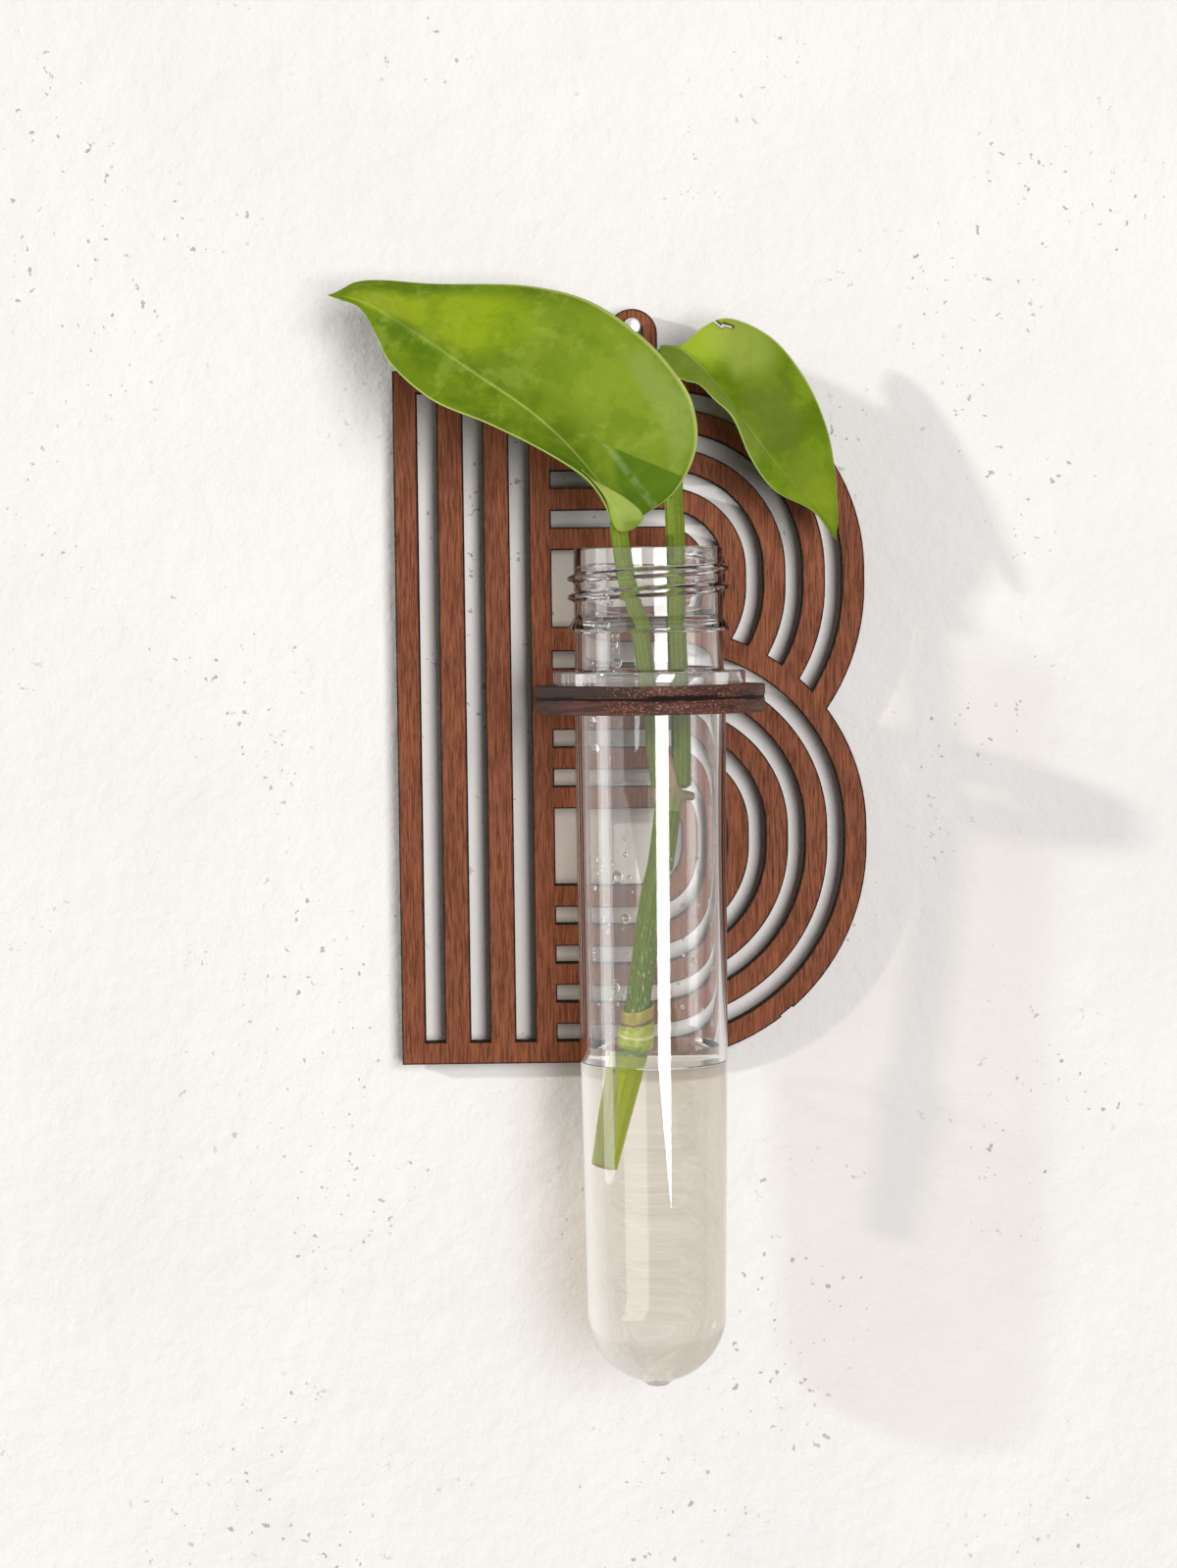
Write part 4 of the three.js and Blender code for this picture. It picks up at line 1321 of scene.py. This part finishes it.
# %% Leaf finish
class LeafFinish(Finish):
    def __init__(self, name, deep, bright, gloss=0.34):
        super().__init__(name, Specular_IOR_Level=0.02)
        self.along, self.across = self.painted("along"), self.painted("across")
        self.slow = self.noise(70, detail=3, roughness=0.6, distortion=0.4)
        self.fine = self.noise(420, detail=5, roughness=0.65)
        self.colour = self.mix(self.span(self.slow + (self.fine - 0.5) * 0.4, 0.38, 0.62), deep, bright)
        self.gloss = gloss

    def patch(self, along, across, long, wide, colour, strength):
        """A soft oval of another green."""
        off = (self.along - along) * (1 / long)
        aside = (self.across - across) * (1 / wide)
        reach = off * off + aside * aside + (self.slow - 0.5) * 1.6 + (self.fine - 0.5) * 0.6
        self.colour = self.mix(self.span(reach, 1.15, 0.1) * strength, self.colour, colour)

    def cover(self, share, colour):
        self.colour = self.mix(share, self.colour, colour)

    def done(self, rim, midrib, brown):
        side = self.absolute(self.across)
        veins, back = self.painted("vein"), self.painted("back")
        self.cover(veins * 0.05, srgb(168, 186, 60))
        near = self.span(self.along, 0.75, 0.4, 0.25, 1)
        self.cover(self.span(side, 0.0, 0.025, 1, 0) * near * midrib, rim)
        self.cover(self.span(side, 0.962, 0.99) * 0.75, rim)
        self.cover(self.span(self.painted("torn"), 0.52, 0.36) * 0.8, brown)
        self.cover(self.span(self.along, 0.985, 1.0) * 0.7, brown)
        self.cover(back * 0.5, srgb(140, 160, 80))
        self.set("Base Color", self.colour)
        self.set("Roughness", self.gloss + self.fine * 0.16 + back * 0.15)
        self.relief(self.fine + veins * 0.5, 0.00006)
        return self


def left_leaf_finish():
    leaf = LeafFinish("left_leaf_green", srgb(90, 114, 22), srgb(114, 136, 30))
    leaf.patch(0.35, 0.62, 0.3, 0.5, srgb(134, 154, 46), 0.8)
    leaf.patch(0.68, 0.4, 0.18, 0.5, srgb(152, 172, 34), 0.85)
    leaf.patch(0.86, 0.1, 0.1, 0.6, srgb(156, 172, 38), 0.8)
    leaf.patch(0.36, 0.55, 0.09, 0.3, srgb(134, 154, 44), 0.8)
    # Painted shade: darker green under the midrib towards the tip, where the blade folds.
    leaf.patch(0.72, -0.25, 0.2, 0.35, srgb(84, 110, 22), 0.8)
    leaf.patch(0.48, 0.15, 0.12, 0.2, srgb(110, 136, 36), 0.5)
    leaf.patch(0.5, 0.75, 0.1, 0.16, srgb(116, 140, 36), 0.5)
    leaf.patch(0.9, -0.8, 0.12, 0.3, srgb(116, 142, 26), 0.6)
    # Painted highlight: a soft, paler and greyer streak along the upper margin near the foot.
    leaf.patch(0.25, 0.86, 0.16, 0.16, srgb(138, 156, 70), 0.9)
    leaf.cover(leaf.span(leaf.noise(120, detail=5, roughness=0.7), 0.48, 0.62) * 0.3, srgb(84, 116, 22))
    leaf.cover(leaf.span(leaf.noise(170, detail=5, roughness=0.7), 0.5, 0.64) * 0.3, srgb(160, 178, 72))
    x, z = leaf.axis("X"), leaf.axis("Z")
    below = leaf.span(z + x * 0.425 + (leaf.fine - 0.5) * 0.0003, -0.02318, -0.02348)
    right = leaf.span(x + (leaf.slow - 0.5) * 0.002, -0.0042, -0.0022)
    leaf.cover(below * right * 0.9, leaf.mix(leaf.fine, srgb(68, 100, 6), srgb(94, 124, 24)))
    # Painted highlight: a pale streak along the fold at the foot of the leaf.
    slant = x + z * 0.76
    highlight_streak = leaf.span(slant, -0.0222, -0.0212) * leaf.span(slant, -0.0208, -0.0198, 1, 0)
    leaf.cover(highlight_streak * below * leaf.span(leaf.fine, 0.3, 0.6) * 0.22, srgb(190, 206, 150))
    return leaf.done(srgb(196, 208, 118), 0.45, srgb(122, 96, 44))


def right_leaf_finish():
    leaf = LeafFinish("right_leaf_green", srgb(98, 124, 22), srgb(126, 150, 36))
    leaf.patch(0.12, 0.6, 0.16, 0.7, srgb(164, 186, 52), 0.9)
    leaf.patch(0.3, 0.7, 0.14, 0.45, srgb(168, 182, 82), 0.6)
    leaf.patch(0.5, 0.35, 0.16, 0.45, srgb(108, 122, 42), 0.8)
    leaf.patch(0.72, 0.1, 0.1, 0.6, srgb(122, 136, 40), 0.6)
    leaf.patch(0.85, 0.3, 0.12, 0.6, srgb(144, 160, 40), 0.6)
    # Painted shading: the folded half near the foot, which the light meets at a slant, is a greyer
    # olive.
    folded_half_shading = leaf.span(leaf.across, 0.02, -0.03) * leaf.span(leaf.along, 0.62, 0.5)
    leaf.cover(folded_half_shading * 0.9, leaf.mix(leaf.fine, srgb(104, 124, 38), srgb(138, 154, 62)))
    return leaf.done(srgb(190, 204, 112), 0.5, srgb(104, 72, 36))


def auricle_finish():
    leaf = LeafFinish("leaf_base_green", srgb(150, 170, 78), srgb(168, 184, 92))
    leaf.patch(0.3, -0.6, 0.5, 0.4, srgb(160, 180, 66), 0.8)
    leaf.patch(0.85, -0.5, 0.14, 0.5, srgb(124, 146, 44), 0.7)
    return leaf.done(srgb(196, 206, 120), 0.25, srgb(150, 140, 70))


left_finish, right_finish, base_finish = left_leaf_finish(), right_leaf_finish(), auricle_finish()
print("A leaf's finish has", len(left_finish.tree.nodes), "nodes")

# %% [markdown]
# ## Both leaves
#
# The measured points are the midrib, the upper margin and the lower margin, from the stalk to
# the tip. At the foot of the left leaf a lobe folds forward and shows its pale underside.

# %% Build both leaves
def crown(height):
    """A blade that arches a little on each side of its midrib."""
    return lambda u, v: height * np.sin(np.pi * np.abs(v)) * np.sin(np.pi * u)


def rim_points(*places):
    return [from_rim(*place) for place in places]


blade("left_leaf_blade", rim_points(
    (-4.9, -6.4, 3.6), (-7.2, -7.1, 8.9), (-11.7, -7.6, 15), (-19, -7, 22.2), (-29.8, -4.5, 30),
    (-40.8, 1, 38), (-48.6, 6, 43), (-54.9, 9, 44.6),
), rim_points(
    (-3.6, -6.2, 3.4), (-0.9, -5.6, 5.2), (4.9, -5.2, 9.6), (8.4, -4.7, 17), (7.7, -3.6, 24.6),
    (3.6, -2, 31.4), (-1.3, 0, 36.6), (-9.6, 4, 42.6), (-19.8, 7, 45.6), (-36.8, 10, 46.4),
    (-48.8, 11, 47.1), (-54.7, 9.4, 45.2),
), rim_points(
    (-6.3, -7.4, 4.2), (-7.6, -8.6, 7.6), (-10.3, -9.6, 11.3), (-16.6, -10, 15.7), (-26.5, -9, 20.9),
    (-36.4, -6, 25.3), (-43.8, -1, 32.1), (-45.9, 2, 36.5), (-49.4, 6, 42.2), (-54.8, 8.6, 44.2),
), left_finish, "left_leaf", crown(0.5), steps=(190, 40))

blade("left_leaf_lobe", rim_points(
    (-11.2, -9.9, 13.1), (-9.5, -10.5, 11.4), (-7.9, -10.3, 9.5), (-6.1, -9.7, 7.2), (-4.3, -9, 5.1),
    (-2.3, -8, 4.6), (-0.7, -7, 5.1),
), rim_points(
    (-11.2, -9.8, 13.2), (-9.4, -10.1, 11.5), (-6.8, -9.5, 10), (-4.3, -8.7, 8.5), (-1.9, -7.6, 6.7),
    (-0.7, -6.8, 5.3),
), rim_points(
    (-11.3, -9.8, 13), (-9.9, -9.9, 11.8), (-8.4, -9.3, 10), (-7.2, -8.8, 8.4), (-6.6, -8.3, 6.8),
    (-6.3, -7.9, 4.9), (-5.5, -7.9, 3), (-4.7, -8, 2.5), (-3.7, -8, 2.6), (-2.4, -7.7, 3.1),
    (-1, -7.2, 4.3), (-0.6, -6.9, 5),
), base_finish, None, crown(0.12), steps=(70, 14), thick=0.35)

blade("right_leaf_blade", rim_points(
    (2.6, 5.2, 34.6), (5.5, 4, 34.3), (8.1, 3.5, 32.4), (11.3, 3, 29), (16.6, 2.5, 21.5),
    (20.9, 3, 15.9), (25, 4, 10.8), (30.3, 6, 5.1), (33, 7.5, 0.8),
), rim_points(
    (3, 6.2, 35), (6.4, 5.4, 34.6), (8.1, 6.3, 36.1), (9.9, 7.6, 37.9), (14.2, 9.3, 39.8),
    (21.9, 11, 36.7), (27.8, 11.5, 29.5), (31.7, 11, 20.1), (33.2, 10, 9.8), (33.3, 8.1, 1.4),
), rim_points(
    (2.4, 4.2, 33.5), (3.7, 2, 30.3), (6.5, 1, 28.6), (9, 0.5, 27.8), (11.6, 0, 25.1),
    (14.5, 0, 22.2), (17.8, 0.5, 15), (22, 2, 9.6), (28.9, 5, 5.9), (32.5, 7, 1.2),
), right_finish, "right_leaf", crown(0.4), steps=(210, 56),
      tear=[(14.2, 0.6), (15.3, -0.5), (15.8, 0.0), (17.2, -0.5)])

# %% [markdown]
# ## Wall and light
#
# The wall is a pale plane of pitted plaster, 2.2 mm behind the panel, which is what the width of
# the shadows in the slots asks for. The room is an even, pale world, brighter where it is seen
# or mirrored than as light. A tall window stands to the right of the camera: it gives the soft
# shadows to the left and the bright upright band on the tube, whose lower end is slanted because
# the window leans a little in the picture. The tube's back walls show only its faint double,
# the veil, as in the photograph. A dimmer window stands far left, and a low sun grazes the wall.

# %% Stage the wall and the lamps
wall_gap = 0.0022
lit_place = Vector((0.002, -0.024, -0.09))


def add_wall():
    """A pale plane that lets a look from behind pass through it to the object."""
    mesh = bpy.data.meshes.new("wall")
    reach, behind = 1.6, wall_gap
    mesh.from_pydata([(-reach, behind, -reach), (reach, behind, -reach), (reach, behind, reach),
                      (-reach, behind, reach)], [], [(0, 1, 2, 3)])
    plaster = Finish("plaster", Roughness=0.9, Specular_IOR_Level=0.1)
    mottle = plaster.noise(14, detail=6, roughness=0.6)
    colour = plaster.mix(plaster.span(mottle, 0.3, 0.7), (0.88, 0.845, 0.825), (0.925, 0.895, 0.87))
    # Painted shade: dark specks where the plaster's pits lie, in scattered patches.
    pit_shade = plaster.span(plaster.noise(640, detail=2), 0.68, 0.73)
    where = plaster.span(plaster.noise(26, detail=2), 0.5, 0.6)
    colour = plaster.mix(pit_shade * where * 0.7, colour, (0.32, 0.29, 0.28))
    plaster.set("Base Color", colour)
    plaster.relief(plaster.noise(180, detail=5, roughness=0.65) + mottle * 3, 0.0006)
    from_behind = plaster.node("ShaderNodeNewGeometry", output="Backfacing")
    plaster.behind(from_behind, plaster.node("ShaderNodeBsdfTransparent"))
    mesh.materials.append(plaster.material)
    wall = bpy.data.objects.new("wall", mesh)
    bpy.context.scene.collection.objects.link(wall)


def add_lamp(name, turn, lift, distance, size, radiance, colour=(1, 1, 1), roll=0, inside=True):
    """A flat lamp that faces the object. turn is to the right of straight ahead, in degrees.

    inside says whether it also shows in the walls that lie behind a clear surface."""
    turn, lift = math.radians(turn), math.radians(lift)
    level = math.cos(lift)
    ahead = Vector((math.sin(turn) * level, -math.cos(turn) * level, math.sin(lift)))
    lamp = bpy.data.lights.new(name, "AREA")
    lamp.shape = "RECTANGLE"
    lamp.size, lamp.size_y = size
    lamp.energy = radiance * math.pi * size[0] * size[1]
    lamp.color = colour
    made = bpy.data.objects.new(name, lamp)
    bpy.context.scene.collection.objects.link(made)
    made.location = lit_place + ahead * distance
    leaning = Quaternion((0, 0, 1), math.radians(roll))
    made.rotation_euler = ((-ahead).to_track_quat("-Z", "Y") @ leaning).to_euler()
    made.visible_camera = False
    made.visible_transmission = inside


def add_room(lights, shines, looks):
    """An even room. It has one level as light, one in shiny surfaces, and one where it is seen."""
    world = bpy.data.worlds.new("room")
    world.use_nodes = True
    nodes, links = world.node_tree.nodes, world.node_tree.links
    path = nodes.new("ShaderNodeLightPath")
    seen = nodes.new("ShaderNodeMath")
    seen.operation = "MAXIMUM"
    links.new(path.outputs["Is Camera Ray"], seen.inputs[0])
    links.new(path.outputs["Is Transmission Ray"], seen.inputs[1])
    shiny, level = nodes.new("ShaderNodeMapRange"), nodes.new("ShaderNodeMapRange")
    shiny.inputs["To Min"].default_value = lights
    shiny.inputs["To Max"].default_value = shines
    links.new(path.outputs["Is Glossy Ray"], shiny.inputs["Value"])
    links.new(seen.outputs[0], level.inputs["Value"])
    links.new(shiny.outputs[0], level.inputs["To Min"])
    level.inputs["To Max"].default_value = looks
    links.new(level.outputs[0], nodes["Background"].inputs["Strength"])
    nodes["Background"].inputs["Color"].default_value = (1, 0.985, 0.965, 1)
    bpy.context.scene.world = world


add_wall()
add_lamp("window", 18, 4.0, 2.0, (0.69, 1.145), 10.6, roll=-11.5, inside=False)
add_lamp("window_veil", 18, 4.0, 2.02, (0.697, 1.156), 2.4, roll=-11.5)
add_lamp("side_window", -79, 3, 2.0, (0.75, 1.1), 2.8)
add_lamp("low_sun", -60.6, 16.3, 2.2, (0.09, 0.09), 800, (0.98, 1, 0.97))
add_room(0.13, 0.6, 0.9)
bpy.context.scene.view_settings.view_transform = "Standard"
